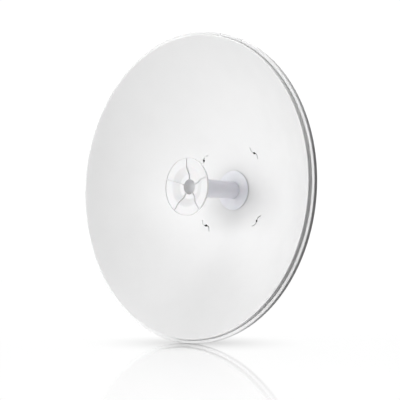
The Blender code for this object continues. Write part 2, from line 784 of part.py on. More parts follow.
# Finishes as (colour, roughness, metallic)
PAINT = ((0.82, 0.82, 0.83), 0.4, 0)
PLASTIC = ((0.88, 0.88, 0.88), 0.45, 0)
BLACK = ((0.03, 0.03, 0.035), 0.5, 0)
ZINC = ((0.62, 0.63, 0.64), 0.38, 1)
NICKEL = ((0.62, 0.6, 0.55), 0.3, 1)

clear_scene()
PARTS = new_collection("microwave_dish_antenna")
CUTTERS = new_collection("cutters")
reflector()
subreflector()
feed_tube()
feed_flange()
lock_ring()
feed_block()
feed_connectors()
hub_plate()
studs()
ear_brackets()
foot_bolts()
pivot_and_lock_bolts()
mast_bracket()
clamps()
clamp_bolts()
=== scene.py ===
"""Microwave dish antenna on a mast bracket: fine pieces and finishes around its fixed frame.

Metres, +Z up. The dish faces -Y. The frame's origin is the middle of the mast plate's rear face.
Front pieces are drawn in dish space: local X and Y are the front view's, local Z points forward,
and a depth behind the dish's crest is a negative local Z. In the functions, s is a group of settings.
"""

import math
from types import SimpleNamespace

import bmesh
import bpy
from bpy.props import FloatProperty, FloatVectorProperty, PointerProperty
from bpy.types import Operator, Panel, PropertyGroup
from mathutils import Matrix, Vector


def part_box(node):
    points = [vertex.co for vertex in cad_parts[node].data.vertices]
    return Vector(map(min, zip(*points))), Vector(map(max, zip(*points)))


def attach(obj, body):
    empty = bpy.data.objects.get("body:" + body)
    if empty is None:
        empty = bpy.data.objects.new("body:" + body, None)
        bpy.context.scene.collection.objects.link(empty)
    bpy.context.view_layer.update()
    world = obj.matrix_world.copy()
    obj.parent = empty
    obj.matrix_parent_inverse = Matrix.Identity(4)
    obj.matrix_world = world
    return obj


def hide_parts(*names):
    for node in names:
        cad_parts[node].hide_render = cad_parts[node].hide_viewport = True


bl_info = {
    "name": "Microwave dish antenna",
    "version": (1, 0, 0),
    "blender": (4, 5, 0),
    "location": "View3D > Sidebar > Dish antenna",
    "description": "Builds a dish antenna's reflector, feed, mast bracket and studio",
    "category": "Object",
}

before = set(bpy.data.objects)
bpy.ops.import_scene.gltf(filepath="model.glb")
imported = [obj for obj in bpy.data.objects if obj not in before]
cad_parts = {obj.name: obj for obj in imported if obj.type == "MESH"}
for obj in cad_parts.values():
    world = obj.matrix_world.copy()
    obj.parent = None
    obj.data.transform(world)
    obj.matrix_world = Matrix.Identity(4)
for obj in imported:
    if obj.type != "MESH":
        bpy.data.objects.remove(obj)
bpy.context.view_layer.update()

MM = 0.001
# Room between pieces that fit into each other
GAP = 0.3 * MM
# Points nearer than this are one
SAME_POINT = 0.001 * MM
# Edge radius of the shapes that only cut others
CUTTER_EDGE = 0.01 * MM

REFLECTOR_LOW, REFLECTOR_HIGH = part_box("reflector")
SUB_LOW, SUB_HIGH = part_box("subreflector")
TUBE_LOW, TUBE_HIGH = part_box("feed_tube")
FLANGE_LOW, FLANGE_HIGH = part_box("feed_flange")
RING_LOW, RING_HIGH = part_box("feed_lock_ring")
HOUSING_LOW, HOUSING_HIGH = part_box("feed_block")
HUB_LOW, HUB_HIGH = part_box("hub_plate")
STUD_LOW, STUD_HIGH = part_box("stud_1")
STUD_NUT_LOW, STUD_NUT_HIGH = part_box("stud_nut_1")
FOOT_BOLT_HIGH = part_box("foot_bolt_4")[1]
EAR_LOW, EAR_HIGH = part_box("ear_bracket_right")
PIVOT_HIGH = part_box("pivot_bolt_right")[1]
MAST_LOW, MAST_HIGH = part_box("mast_bracket")
CLAMP_LOW, CLAMP_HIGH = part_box("mast_clamp_upper")
CLAMP_BOLT_LOW, CLAMP_BOLT_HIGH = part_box("clamp_bolt_4")
CLAMP_NUT_LOW, CLAMP_NUT_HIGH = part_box("clamp_nut_4")

CREST_Y = REFLECTOR_LOW.y
DISH = Matrix.Translation((0, CREST_Y, 0)) @ Matrix.Rotation(math.radians(90), 4, "X")

# Smoothness of the round shapes, and of the long curves
DISH_STEPS = 288
FEED_STEPS = 144
RING_STEPS = 96
BOLT_STEPS = 48
BORE_STEPS = 32
HOLE_STEPS = 24
BOWL_STATIONS = 44
SLOT_STATIONS = 48
FACE_STATIONS = 16
RIB_STATIONS = 32

# Where the two holes in the lip are, in degrees from the right
LIP_HOLE_TURNS = (62.6, 73.4)
# Share of the subreflector's cone over which each of its ends is eased
EASE = 0.22
# The ribs' angles in degrees, their drop below the lip, and how far they root in the face
RIB_TURNS = [90 + 72 * i for i in range(5)]
RIB_DROP = 0.1 * MM
RIB_ROOT = 2 * MM
# The rib that points left has no grooves beside it
PLAIN_RIB = 162

# Metric hardware: thread radius and pitch, width across the flats, height of the head and of the nut
M5 = SimpleNamespace(radius=2.5 * MM, pitch=0.8 * MM, flats=8 * MM)
M6 = SimpleNamespace(radius=3 * MM, pitch=1 * MM, flats=10 * MM, head=4 * MM, nut=5 * MM)
M8 = SimpleNamespace(radius=4 * MM, pitch=1.25 * MM, flats=13 * MM, head=5.5 * MM, nut=6.5 * MM)
# How far a bolt reaches from its head's seat, and where its nut sits
FOOT_REACH, FOOT_GRIP = 14.9 * MM, 6.9 * MM
PIVOT_REACH, PIVOT_GRIP = 17.9 * MM, 7.9 * MM
# Places of the lid's screws, as (x, z)
LID_SCREWS = [(x * MM, z * MM) for x, z in ((-27, -27), (27, -27), (-27, 27), (27, 27))]


def linear(code):
    """A hex code's colour in linear light, with full alpha."""
    shares = [int(code[i:i + 2], 16) / 255 for i in (0, 2, 4)]
    return (*(s / 12.92 if s <= 0.04045 else ((s + 0.055) / 1.055) ** 2.4 for s in shares), 1)


PAINT_WHITE = linear("E8E8E8")
PAINT_SHADE = linear("E3E3E3")
ABS_WHITE = linear("E4E4E5")
ABS_SHADE = linear("DEDEDF")
# The tube's cooler tint is a painted shade and the flange's lighter white a painted light, both on the
# subreflector's white plastic
TUBE_PAINTED_SHADE_TINT = linear("E3E3E9")
TUBE_SHADE = linear("DCDCE4")
FLANGE_PAINTED_LIGHT_WHITE = linear("F3F3F6")
NYLON_BLACK = linear("1D1E20")
NYLON_GREY = linear("2A2B2D")
ZINC_LIGHT = linear("C3C7CA")
ZINC_DARK = linear("969B9F")
PLATE_LIGHT = linear("C6C9CC")
PLATE_BLUE = linear("AEB5BD")
OXIDE_BLACK = linear("232426")
OXIDE_BROWN = linear("3A3533")
NICKEL_LIGHT = linear("CFC9BC")
NICKEL_DARK = linear("B3AB9B")
PTFE_WHITE = linear("F4F3EE")
FLOOR_WHITE = linear("3A3A3A")

# The floor's mirror share before its Fresnel share is taken, at distances behind the dish's middle
# along the camera's sight
MIRROR = ((-0.9, 0.22), (-0.15, 0.75), (0.05, 0.72), (0.35, 0.0))
ACRYLIC_IOR = 1.5
# The floor's own light, and how far and how deep the painted shade at the dish's foot takes it down
FLOOR_GLOW = 0.95
PAINTED_SHADE_REACH = 0.24
PAINTED_SHADE_DEPTH = 0.75
PAINTED_SHADE_FOOT_Y = CREST_Y + 36 * MM
# Each softbox: azimuth from +X and elevation of its middle, and its half width, in degrees, and its light
SOFTBOXES = (
    (230, 8, 22, 2.5),
    (250, 8, 22, 1.7),
    (270, 5, 22, 6.2),
    (290, 10, 25, 1.5),
    (265, 65, 25, 1.3),
    (140, 60, 30, 7.4),
    (0, 90, 30, 2.75),
    (133, 6, 40, 1.0),
)


# Settings

def length(name, text, default):
    return FloatProperty(
        name=name, description=text, default=default, min=0, precision=4, subtype="DISTANCE", unit="LENGTH"
    )


def strength(name, text, default, low=0):
    return FloatProperty(name=name, description=text, default=default, min=low)


def place(name, text, default):
    return FloatVectorProperty(
        name=name, description=text, default=default, size=3, subtype="TRANSLATION", unit="LENGTH"
    )


def tint(name, text, default):
    return FloatVectorProperty(
        name=name, description=text, default=default, size=4, min=0, max=1, subtype="COLOR"
    )


class ReflectorSettings(PropertyGroup):
    """Sizes of the pressed steel reflector."""
    crest_radius: length("Crest radius", "Outer radius of the fold where the bowl ends", 317 * MM)
    bowl_depth: length("Bowl depth", "Depth of the bowl's vertex behind the crest", 157.7 * MM)
    sheet: length("Sheet", "Thickness of the pressed steel", 1.6 * MM)
    fold_radius: length("Fold radius", "Outer radius of the rim's folds", 1.9 * MM)
    lip_radius: length("Lip radius", "Outer radius of the flat front lip", REFLECTOR_HIGH.x)
    lip_depth: length("Lip depth", "Depth of the lip behind the crest", 7.5 * MM)
    bead_width: length("Bead width", "Width of the groove between the bowl's fold and the lip", 1.3 * MM)
    bead_depth: length("Bead depth", "Depth of that groove below the lip", 4.5 * MM)
    bead_edge: length("Bead edge", "Outer radius of the folds at that groove's bottom", 0.5 * MM)
    skirt_depth: length("Skirt depth", "Depth of the skirt's rear edge", 16.2 * MM)
    feed_hole_radius: length("Feed hole radius", "Radius of the hole in the middle", 34 * MM)
    lip_hole_circle: length("Lip hole circle", "Distance of the lip's holes from the axis", 321.4 * MM)
    lip_hole_radius: length("Lip hole radius", "Radius of each hole in the lip", 1.8 * MM)
    paint: tint("Paint", "Colour of the powder coat", PAINT_WHITE)


class SlotSettings(PropertyGroup):
    """Sizes of the four S shaped slots and the studs in them."""
    stud_circle: length("Stud circle", "Distance of the studs from the axis", 103 * MM)
    first_angle: FloatProperty(
        name="First angle", description="Turn of the first stud from the right", default=math.radians(47.5),
        subtype="ANGLE", unit="ROTATION",
    )
    stud_radius: length("Stud radius", "Radius of the studs", (STUD_HIGH.x - STUD_LOW.x) / 2)
    slot_length: length("Slot length", "Length of each slot across its wave", 34 * MM)
    slot_wave: length("Slot wave", "Length of one full wave of the slot", 25 * MM)
    slot_swing: length("Slot swing", "How far the wave swings to each side", 2.5 * MM)
    slot_width: length("Slot width", "Width of the slot", 2 * MM)


class FeedSettings(PropertyGroup):
    """Sizes of the moulded feed in front of the reflector."""
    sub_radius: length("Subreflector radius", "Outer radius of the subreflector", SUB_HIGH.x)
    sub_lip_width: length("Lip width", "Width of the subreflector's raised lip", 1.5 * MM)
    sub_lip_height: length("Lip height", "Height of the raised lip", 2 * MM)
    sub_shell: length("Shell", "Wall thickness of the subreflector", 3 * MM)
    sub_dish_outer: length("Dish outer radius", "Where the face starts to sink", 44 * MM)
    sub_dish_inner: length("Dish inner radius", "Where the face levels out again", 23 * MM)
    sub_dish_depth: length("Dish depth", "How far the face sinks", 9 * MM)
    recess_radius: length("Recess radius", "Radius of the round recess", 16 * MM)
    recess_depth: length("Recess depth", "Depth of the recess behind the lip", 40 * MM)
    rib_width: length("Rib width", "Width of each radial rib", 1.8 * MM)
    rib_height: length("Rib height", "Height of each rib above the face", 3 * MM)
    groove_width: length("Groove width", "Width of the groove on each side of a rib", 1.1 * MM)
    groove_depth: length("Groove depth", "Depth of the groove on each side of a rib", 0.7 * MM)
    tube_front_radius: length("Tube front radius", "Radius at the subreflector", TUBE_HIGH.x)
    tube_rear_radius: length("Tube rear radius", "Radius at the flange", 18 * MM)
    tube_wall: length("Tube wall", "Wall thickness of the tube", 2.5 * MM)
    flange_radius: length("Flange radius", "Radius of the disc on the bowl", FLANGE_HIGH.x)
    flange_thickness: length("Flange thickness", "Thickness of the disc", 2.6 * MM)
    flange_undercut: length("Flange undercut", "Height of the shadow gap under the disc's edge", 2.2 * MM)
    plastic: tint("Plastic", "Colour of the moulded plastic", ABS_WHITE)
    # The tube's colour is a painted shade and the flange's a painted light, on the same white plastic
    tube_painted_shade: tint("Tube plastic", "Colour of the tube", TUBE_PAINTED_SHADE_TINT)
    flange_painted_light: tint("Flange plastic", "Colour of the disc on the bowl", FLANGE_PAINTED_LIGHT_WHITE)


class BracketSettings(PropertyGroup):
    """Sizes of the steel that holds the reflector to the mast."""
    hub_sheet: length("Hub sheet", "Thickness of the hub plate", HUB_HIGH.y - HUB_LOW.y)
    hub_hole_radius: length("Hub hole radius", "Radius of the hole round the feed", 48 * MM)
    hub_corner: length("Hub corner", "Radius of the hub plate's corners", 20 * MM)
    port_radius: length("Port radius", "Radius of the hub plate's two ports", 11 * MM)
    port_rise: length("Port rise", "Height of the ports above and below the axis", 72 * MM)
    ear_sheet: length("Ear sheet", "Thickness of the angle brackets", 3 * MM)
    mast_sheet: length("Mast sheet", "Thickness of the mast bracket and the clamps", 4 * MM)
    mast_radius: length("Mast radius", "Radius of the mast the clamps are drawn for", 30 * MM)
    zinc: tint("Zinc", "Colour of the galvanised sheet", ZINC_LIGHT)


class StudioSettings(PropertyGroup):
    """Camera, floor and lights."""
    camera_place: place("Camera", "Where the camera stands", (1.4265, -1.8033, -0.1537))
    camera_aim: place("Aim", "The point in the middle of the picture", (0.0009, -0.2515, -0.0261))
    lens: strength("Lens", "Focal length in millimetres", 90, 1)
    light: strength("Light", "Strength of all the softboxes together", 1)
    fill: strength("Fill", "Weak light from all round", 0)
    backdrop: strength("Backdrop", "Brightness of the backdrop itself", 1.05)
    floor_size: length("Floor size", "Width of the whole floor", 14)
    bounce_left: length("Bounce left", "How far the lit floor reaches left of the dish", 1.2)
    bounce_right: length("Bounce right", "How far the lit floor reaches right of the dish", 0.1)
    bounce_length: length("Bounce length", "Length of the lit floor along the camera's sight", 2.6)


# Materials

def socket(sockets, name):
    """The socket with this identifier, or else with this name."""
    return next((s for s in sockets if s.identifier == name), None) or sockets[name]


def add(tree, kind, inputs=None, **settings):
    """Adds a node with its settings. An input is a value, or a (node, output) pair to link from."""
    made = tree.nodes.new(kind)
    for name, value in settings.items():
        setattr(made, name, value)
    for name, value in (inputs or {}).items():
        target = socket(made.inputs, name)
        if isinstance(value, tuple) and isinstance(value[0], bpy.types.Node):
            tree.links.new(socket(value[0].outputs, value[1]), target)
        else:
            target.default_value = value
    return made


def finish(name, build, **values):
    """The material of this name, whose node tree is built once. The values go to the shader's own sockets."""
    made = bpy.data.materials.get(name)
    if made is None:
        made = bpy.data.materials.new(name)
        made.use_nodes = True
        shader = made.node_tree.nodes["Principled BSDF"]
        for label, value in values.items():
            shader.inputs[label.replace("_", " ")].default_value = value
        looks = build(made.node_tree)
        for label, source in looks.items():
            made.node_tree.links.new(socket(source[0].outputs, source[1]), shader.inputs[label])
    return made


def surface(tree, tone, colours, gloss, span, roughness, grain, depth):
    """The shader's inputs: colours mixed by the tone, roughness that follows the gloss over its span, and the
    grain's relief. Tone and gloss are (node, output) pairs."""
    mixed = {"Factor_Float": tone, "A_Color": colours[0], "B_Color": colours[1]}
    colour = add(tree, "ShaderNodeMix", mixed, data_type="RGBA")
    dull = add(tree, "ShaderNodeMapRange", {
        "Value": gloss, "From Min": span[0], "From Max": span[1],
        "To Min": roughness[0], "To Max": roughness[1],
    })
    bump = add(tree, "ShaderNodeBump", {"Height": (grain, "Fac"), "Distance": depth, "Strength": 1.0})
    return {"Base Color": (colour, "Result_Color"), "Roughness": (dull, "Result"), "Normal": (bump, "Normal")}


def mottled(name, colours, roughness, patch, grain, depth, **values):
    """A finish of two colours and two roughnesses that drift over patches, under a fine grain.
    The patches' width, the grain's width and its depth are in millimetres."""
    def build(tree):
        point = (add(tree, "ShaderNodeTexCoord"), "Object")
        drift = add(tree, "ShaderNodeTexNoise", {"Vector": point, "Scale": 1 / (patch * MM), "Detail": 3.0})
        fine = add(tree, "ShaderNodeTexNoise", {"Vector": point, "Scale": 1 / (grain * MM), "Detail": 2.0})
        # A noise seldom leaves this span
        span = (0.3, 0.7)
        return surface(tree, (drift, "Fac"), colours, (drift, "Fac"), span, roughness, fine, depth * MM)

    return finish(name, build, **values)


def powder_coated_steel(colour):
    """Polyester powder, sprayed and baked on pressed steel: an even satin white with a faint orange peel.
    The peel's waves are about 2 mm wide, and are drawn 5 mm wide so that they show."""
    return mottled("powder_coated_steel", (colour, PAINT_SHADE), (0.36, 0.46), 60, 5, 0.03, IOR=1.5)


def moulded_abs(colour):
    """ABS, injection moulded in a spark eroded tool: a soft white with a fine, even matt grain.
    The grain is about 0.5 mm wide, and is drawn 1.5 mm wide so that it shows."""
    return mottled(
        "moulded_abs", (colour, ABS_SHADE), (0.38, 0.48), 25, 1.5, 0.02,
        IOR=1.54, Subsurface_Weight=0.06, Subsurface_Scale=4 * MM,
    )


def polished_abs(name, colour):
    """ABS, moulded in a polished tool: the subreflector's plastic, glossier. Its colour is painted light or
    shade: the tube's cooler tint is a painted shade, the flange's lighter white a painted light.
    """
    return mottled(
        name, (colour, TUBE_SHADE), (0.32, 0.42), 25, 1.5, 0.01,
        IOR=1.54, Subsurface_Weight=0.06, Subsurface_Scale=4 * MM,
    )


def glass_filled_nylon():
    """Black polyamide with glass fibre, moulded: dull, and cloudy where the fibres reach the surface."""
    return mottled("glass_filled_nylon", (NYLON_BLACK, NYLON_GREY), (0.45, 0.62), 8, 1.2, 0.05, IOR=1.53)


def zinc_plated_steel():
    """Bolts with electroplated, clear passivated zinc: bright grey, with a bluish cast that drifts."""
    return mottled("zinc_plated_steel", (PLATE_LIGHT, PLATE_BLUE), (0.24, 0.36), 5, 0.8, 0.01, Metallic=1)


def black_oxide_steel():
    """Studs blackened in hot salts and oiled: nearly black, with a brownish cast."""
    return mottled("black_oxide_steel", (OXIDE_BLACK, OXIDE_BROWN), (0.3, 0.45), 4, 0.8, 0.01, Metallic=1)


def nickel_plated_brass():
    """Turned brass with a nickel coat: warm grey and bright, with faint marks of the tool."""
    return mottled("nickel_plated_brass", (NICKEL_LIGHT, NICKEL_DARK), (0.18, 0.3), 4, 0.7, 0.01, Metallic=1)


def ptfe():
    """The insulator in a coaxial connector, turned from rod: waxy white."""
    return mottled(
        "ptfe", (PTFE_WHITE, ABS_SHADE), (0.4, 0.5), 4, 1, 0.01,
        IOR=1.38, Subsurface_Weight=0.2, Subsurface_Scale=2 * MM,
    )


def galvanised_steel(colour):
    """Sheet dipped in molten zinc: grey crystals about 9 mm across, each with its own tone and gloss."""
    crystal_size, wobble_size, wobble_reach, frost_size = 9 * MM, 12 * MM, 4 * MM, 1.5 * MM

    def build(tree):
        point = (add(tree, "ShaderNodeTexCoord"), "Object")
        wobble = add(tree, "ShaderNodeTexNoise", {"Vector": point, "Scale": 1 / wobble_size, "Detail": 3.0})
        frost = add(tree, "ShaderNodeTexNoise", {"Vector": point, "Scale": 1 / frost_size, "Detail": 4.0})
        reach = {0: (wobble, "Color"), 1: (wobble_reach,) * 3}
        shift = add(tree, "ShaderNodeVectorMath", reach, operation="MULTIPLY")
        spot = add(tree, "ShaderNodeVectorMath", {0: point, 1: (shift, "Vector")}, operation="ADD")
        crystal = add(tree, "ShaderNodeTexVoronoi", {"Vector": (spot, "Vector"), "Scale": 1 / crystal_size})
        tone = add(tree, "ShaderNodeSeparateColor", {"Color": (crystal, "Color")})
        colours = (colour, ZINC_DARK)
        return surface(tree, (tone, "Red"), colours, (tone, "Green"), (0, 1), (0.34, 0.52), frost, 0.04 * MM)

    return finish("galvanised_steel", build, Metallic=1)


# Outlines and places

def spread(start, end, steps):
    return [start + (end - start) * i / steps for i in range(steps + 1)]


def in_mm(*corners):
    return [tuple(value * MM for value in corner) for corner in corners]


def spun(angle):
    """A turn about local Z, in degrees."""
    return Matrix.Rotation(math.radians(angle), 4, "Z")


def raised(height):
    return Matrix.Translation((0, 0, height))


def facing(direction, point):
    """A place whose local Z points along a world axis."""
    turns = {"+X": (90, "Y"), "-X": (-90, "Y"), "+Y": (-90, "X"), "-Y": (90, "X"), "-Z": (180, "X")}
    angle, axis = turns[direction]
    return Matrix.Translation(point) @ Matrix.Rotation(math.radians(angle), 4, axis)


def middle(node):
    low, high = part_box(node)
    return (low + high) / 2


def polar(reach, angle, centre=(0, 0)):
    """The point at this distance and angle, in degrees, from the centre."""
    turn = math.radians(angle)
    return Vector((centre[0] + reach * math.cos(turn), centre[1] + reach * math.sin(turn)))


def ring(radius, centre=(0, 0), steps=BOLT_STEPS):
    return [polar(radius, angle, centre) for angle in spread(0, 360, steps)[:-1]]


def rounded(corners, steps=6):
    """Points from (x, y, radius) corners. A corner whose radius is above 0 becomes an arc."""
    points = []
    for i, (x, y, radius) in enumerate(corners):
        here = Vector((x, y))
        if radius == 0:
            points.append(here)
            continue
        before = (Vector(corners[i - 1][:2]) - here).normalized()
        after = (Vector(corners[(i + 1) % len(corners)][:2]) - here).normalized()
        half = before.angle(after) / 2
        centre = here + (before + after).normalized() * (radius / math.sin(half))
        start = here + before * (radius / math.tan(half)) - centre
        end = here + after * (radius / math.tan(half)) - centre
        first = math.atan2(start.y, start.x)
        turn = (math.atan2(end.y, end.x) - first + math.pi) % (2 * math.pi) - math.pi
        arc = spread(first, first + turn, steps)
        points += [centre + radius * Vector((math.cos(a), math.sin(a))) for a in arc]
    return points


def box_corners(low, high, radius):
    return [(x, y, radius) for x, y in (high, (low[0], high[1]), low, (high[0], low[1]))]


def mitres(points):
    """For each point of a loop, the outward vector that moves both its edges by one unit."""
    count = len(points)
    area = sum(points[i - 1].cross(points[i]) for i in range(count))
    sign = 1 if area > 0 else -1
    result = []
    for i in range(count):
        before = (points[i] - points[i - 1]).normalized()
        after = (points[(i + 1) % count] - points[i]).normalized()
        one = Vector((before.y, -before.x)) * sign
        two = Vector((after.y, -after.x)) * sign
        result.append((one + two) / max(1 + one.dot(two), 0.2))
    return result


# Meshes

def as_mesh(work, angle=35):
    """Writes a bmesh out, smooth but for edges sharper than the angle, and frees it."""
    bmesh.ops.recalc_face_normals(work, faces=work.faces)
    mesh = bpy.data.meshes.new("antenna")
    work.to_mesh(mesh)
    work.free()
    mesh.shade_smooth()
    mesh.set_sharp_from_angle(angle=math.radians(angle))
    return mesh


def turned(profile, steps=BOLT_STEPS, closed=True):
    """A mesh turned about local Z from (radius, height) points. An open profile starts and ends on the axis,
    or leaves an open skin."""
    work = bmesh.new()
    points = [work.verts.new((point[0], 0, point[1])) for point in profile]
    ends = points[1:] + points[:1] if closed else points[1:]
    edges = [work.edges.new(pair) for pair in zip(points, ends)]
    bmesh.ops.spin(
        work, geom=points + edges, cent=(0, 0, 0), axis=(0, 0, 1), angle=2 * math.pi, steps=steps,
        use_merge=True,
    )
    bmesh.ops.remove_doubles(work, verts=work.verts, dist=SAME_POINT)
    return as_mesh(work)


def skinned(work, loops):
    """Adds faces between each loop of vertices and the next."""
    for one, two in zip(loops, loops[1:]):
        for i in range(len(one)):
            work.faces.new((one[i - 1], one[i], two[i], two[i - 1]))


def lofted(rings):
    """A skin through loops of points with equal counts, capped at both ends."""
    work = bmesh.new()
    loops = [[work.verts.new(point) for point in points] for points in rings]
    skinned(work, loops)
    work.faces.new(loops[0])
    work.faces.new(loops[-1])
    return as_mesh(work)


def sheet(outlines, thickness, edge=0.4 * MM):
    """A flat sheet in local XY, centred on z = 0, with rounded edges. Outlines after the first are holes."""
    work = bmesh.new()
    turns = [math.radians(a) for a in (90, 45, 0)]
    upper = [(edge * (1 - math.cos(a)), thickness / 2 - edge * (1 - math.sin(a))) for a in turns]
    steps = upper + [(inset, -height) for inset, height in reversed(upper)]
    caps = ([], [])
    for number, points in enumerate(outlines):
        sign = 1 if number else -1
        outward = mitres(points)
        loops = [
            [work.verts.new((*(p + m * sign * inset), height)) for p, m in zip(points, outward)]
            for inset, height in steps
        ]
        skinned(work, loops)
        for cap, loop in zip(caps, (loops[0], loops[-1])):
            cap += [work.edges.get((loop[i - 1], loop[i])) for i in range(len(loop))]
    for cap in caps:
        bmesh.ops.triangle_fill(work, use_beauty=True, edges=cap, normal=(0, 0, 1))
    return as_mesh(work)


def block(low, high, radius, thickness, edge):
    """A flat sheet between two corners, rounded in plan by the radius."""
    return sheet([rounded(box_corners(low, high, radius))], thickness, edge)


def bent(mesh, start, radius, sign=1, angle=90, steps=8):
    """Bends the part of a sheet beyond x = start up to local +Z, round an arc of this radius at its middle.
    With sign -1 it is the part beyond -start that bends."""
    work = bmesh.new()
    work.from_mesh(mesh)
    full = math.radians(angle)
    for along in spread(start, start + radius * full, steps):
        bmesh.ops.bisect_plane(
            work, geom=work.verts[:] + work.edges[:] + work.faces[:], dist=SAME_POINT,
            plane_co=(sign * along, 0, 0), plane_no=(1, 0, 0),
        )
    for vertex in work.verts:
        past = vertex.co.x * sign - start
        if past <= 0:
            continue
        turn = min(past / radius, full)
        rest = past - turn * radius
        arm = radius - vertex.co.z
        x = start + arm * math.sin(turn) + rest * math.cos(turn)
        vertex.co = (sign * x, vertex.co.y, radius - arm * math.cos(turn) + rest * math.sin(turn))
    return as_mesh(work)


def merged(parts):
    """One mesh from several, each given as a mesh or as (mesh, matrix)."""
    work = bmesh.new()
    for part in parts:
        mesh, matrix = part if isinstance(part, tuple) else (part, Matrix.Identity(4))
        moved = mesh.copy()
        moved.transform(matrix)
        work.from_mesh(moved)
        bpy.data.meshes.remove(moved)
    return as_mesh(work)


def applied(thing):
    """The object's mesh with its modifiers applied. The object itself is removed."""
    bpy.context.view_layer.update()
    mesh = bpy.data.meshes.new_from_object(thing.evaluated_get(bpy.context.evaluated_depsgraph_get()))
    bpy.data.objects.remove(thing)
    return mesh


def combined(mesh, tools, operation):
    """The mesh cut by or joined with others, each given as (mesh, matrix)."""
    holder = bpy.data.objects.new("holder", mesh)
    bpy.context.scene.collection.objects.link(holder)
    others = []
    for tool, matrix in tools:
        other = bpy.data.objects.new("tool", tool)
        other.matrix_world = matrix
        bpy.context.scene.collection.objects.link(other)
        boolean = holder.modifiers.new("boolean", "BOOLEAN")
        boolean.operation = operation
        boolean.solver = "EXACT"
        boolean.object = other
        others.append(other)
    work = bmesh.new()
    work.from_mesh(applied(holder))
    for other in others:
        bpy.data.objects.remove(other)
    return as_mesh(work)


def piece(name, mesh, material, nodes, matrix=None):
    """A finished object that rides on the antenna and stands for these nodes of the frame."""
    thing = bpy.data.objects.new(name, mesh)
    bpy.context.scene.collection.objects.link(thing)
    thing.matrix_world = matrix or Matrix.Identity(4)
    mesh.materials.clear()
    mesh.materials.append(material)
    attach(thing, "root")
    if nodes:
        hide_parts(*nodes)
    return thing


def fastener(name, mesh, nodes, matrix):
    """A zinc plated copy of a screw or nut."""
    return piece(name, mesh.copy(), zinc_plated_steel(), nodes, matrix)


# Reflector

def fold_rise(s):
    """How far the bowl's line runs past the crest before it meets the rim's wall, as the fold is round."""
    slope = math.atan(2 * s.bowl_depth / s.crest_radius)
    return s.fold_radius * (math.cos(slope) + math.tan(slope) * (1 + math.sin(slope)) - 1)


def bowl(s, radius):
    """Depth of the bowl's front at a radius."""
    full = s.bowl_depth + fold_rise(s)
    return s.bowl_depth - full * (radius / s.crest_radius) ** 2


def bowl_slope(s, radius):
    return 2 * (s.bowl_depth + fold_rise(s)) * radius / s.crest_radius**2


def bowl_end(s):
    """Radius where the bowl's own curve ends, a little before the fold."""
    return s.crest_radius - 4 * s.fold_radius


def reflector_skin(s):
    """The reflector's front, from the feed hole out over the crest and the lip to the skirt's edge."""
    bead = s.lip_depth + s.bead_depth
    step = s.crest_radius + s.bead_width
    path = [(r, -bowl(s, r), 0) for r in spread(s.feed_hole_radius, bowl_end(s), BOWL_STATIONS)]
    path += [
        (s.crest_radius, fold_rise(s), s.fold_radius),
        (s.crest_radius, -bead, s.bead_edge),
        (step, -bead, s.bead_edge),
        (step, -s.lip_depth, s.fold_radius),
        (s.lip_radius, -s.lip_depth, s.fold_radius),
        (s.lip_radius, -s.skirt_depth, 0),
    ]
    return turned(rounded(path, steps=8), DISH_STEPS, closed=False)


def slot_outline(s):
    """A wave along X, with round ends, that swells to a round hole for the stud."""
    hole = s.stud_radius + GAP
    upper, lower = [], []
    for along in spread(-s.slot_length / 2, s.slot_length / 2, SLOT_STATIONS):
        phase = 2 * math.pi * along / s.slot_wave
        swing = s.slot_swing * math.sin(phase)
        slope = s.slot_swing * math.cos(phase) * 2 * math.pi / s.slot_wave
        run = math.hypot(1, slope)
        half = max(s.slot_width / 2, math.sqrt(max(hole**2 - (along * run) ** 2, 0)))
        upper.append(Vector((along - half * slope / run, swing + half / run)))
        lower.append(Vector((along + half * slope / run, swing - half / run)))
    return upper + lower[::-1]


def smooth_bowl(mesh, s):
    """Gives the bowl's two faces the normals of its exact curve, so the cuts leave no dents in the light."""
    nearly_same = 0.98
    normals = []
    for polygon in mesh.polygons:
        side = 1 if polygon.normal.z > 0 else -1
        for index in polygon.vertices:
            x, y, _ = mesh.vertices[index].co
            radius = math.hypot(x, y)
            slope = bowl_slope(s, radius)
            exact = side * Vector((-x / radius * slope, -y / radius * slope, 1)).normalized()
            on_bowl = radius < bowl_end(s) and exact.dot(polygon.normal) > nearly_same
            normals.append(exact if on_bowl else (0, 0, 0))
    mesh.normals_split_custom_set(normals)


class ANTENNA_OT_reflector(Operator):
    """Builds the pressed reflector with its rim, slots and holes"""
    bl_idname = "antenna.reflector"
    bl_label = "Reflector"

    def execute(self, context):
        s = context.scene.antenna_reflector
        slots = context.scene.antenna_slots
        skin = bpy.data.objects.new("skin", reflector_skin(s))
        context.scene.collection.objects.link(skin)
        solid = skin.modifiers.new("sheet", "SOLIDIFY")
        solid.thickness = s.sheet
        solid.offset = -1
        solid.use_even_offset = True
        slot_cutter = sheet([slot_outline(slots)], 20 * MM, CUTTER_EDGE)
        slot_place = Matrix.Translation((0, slots.stud_circle, -bowl(s, slots.stud_circle)))
        first = math.degrees(slots.first_angle) - 90
        cutters = [(slot_cutter, spun(first + 90 * i) @ slot_place) for i in range(4)]
        hole_cutter = sheet([ring(s.lip_hole_radius)], 8 * MM, CUTTER_EDGE)
        hole_place = Matrix.Translation((s.lip_hole_circle, 0, -s.lip_depth))
        cutters += [(hole_cutter, spun(turn) @ hole_place) for turn in LIP_HOLE_TURNS]
        mesh = combined(applied(skin), cutters, "DIFFERENCE")
        smooth_bowl(mesh, s)
        piece("reflector_shell", mesh, powder_coated_steel(s.paint), ["reflector"], DISH)
        return {"FINISHED"}


# Feed

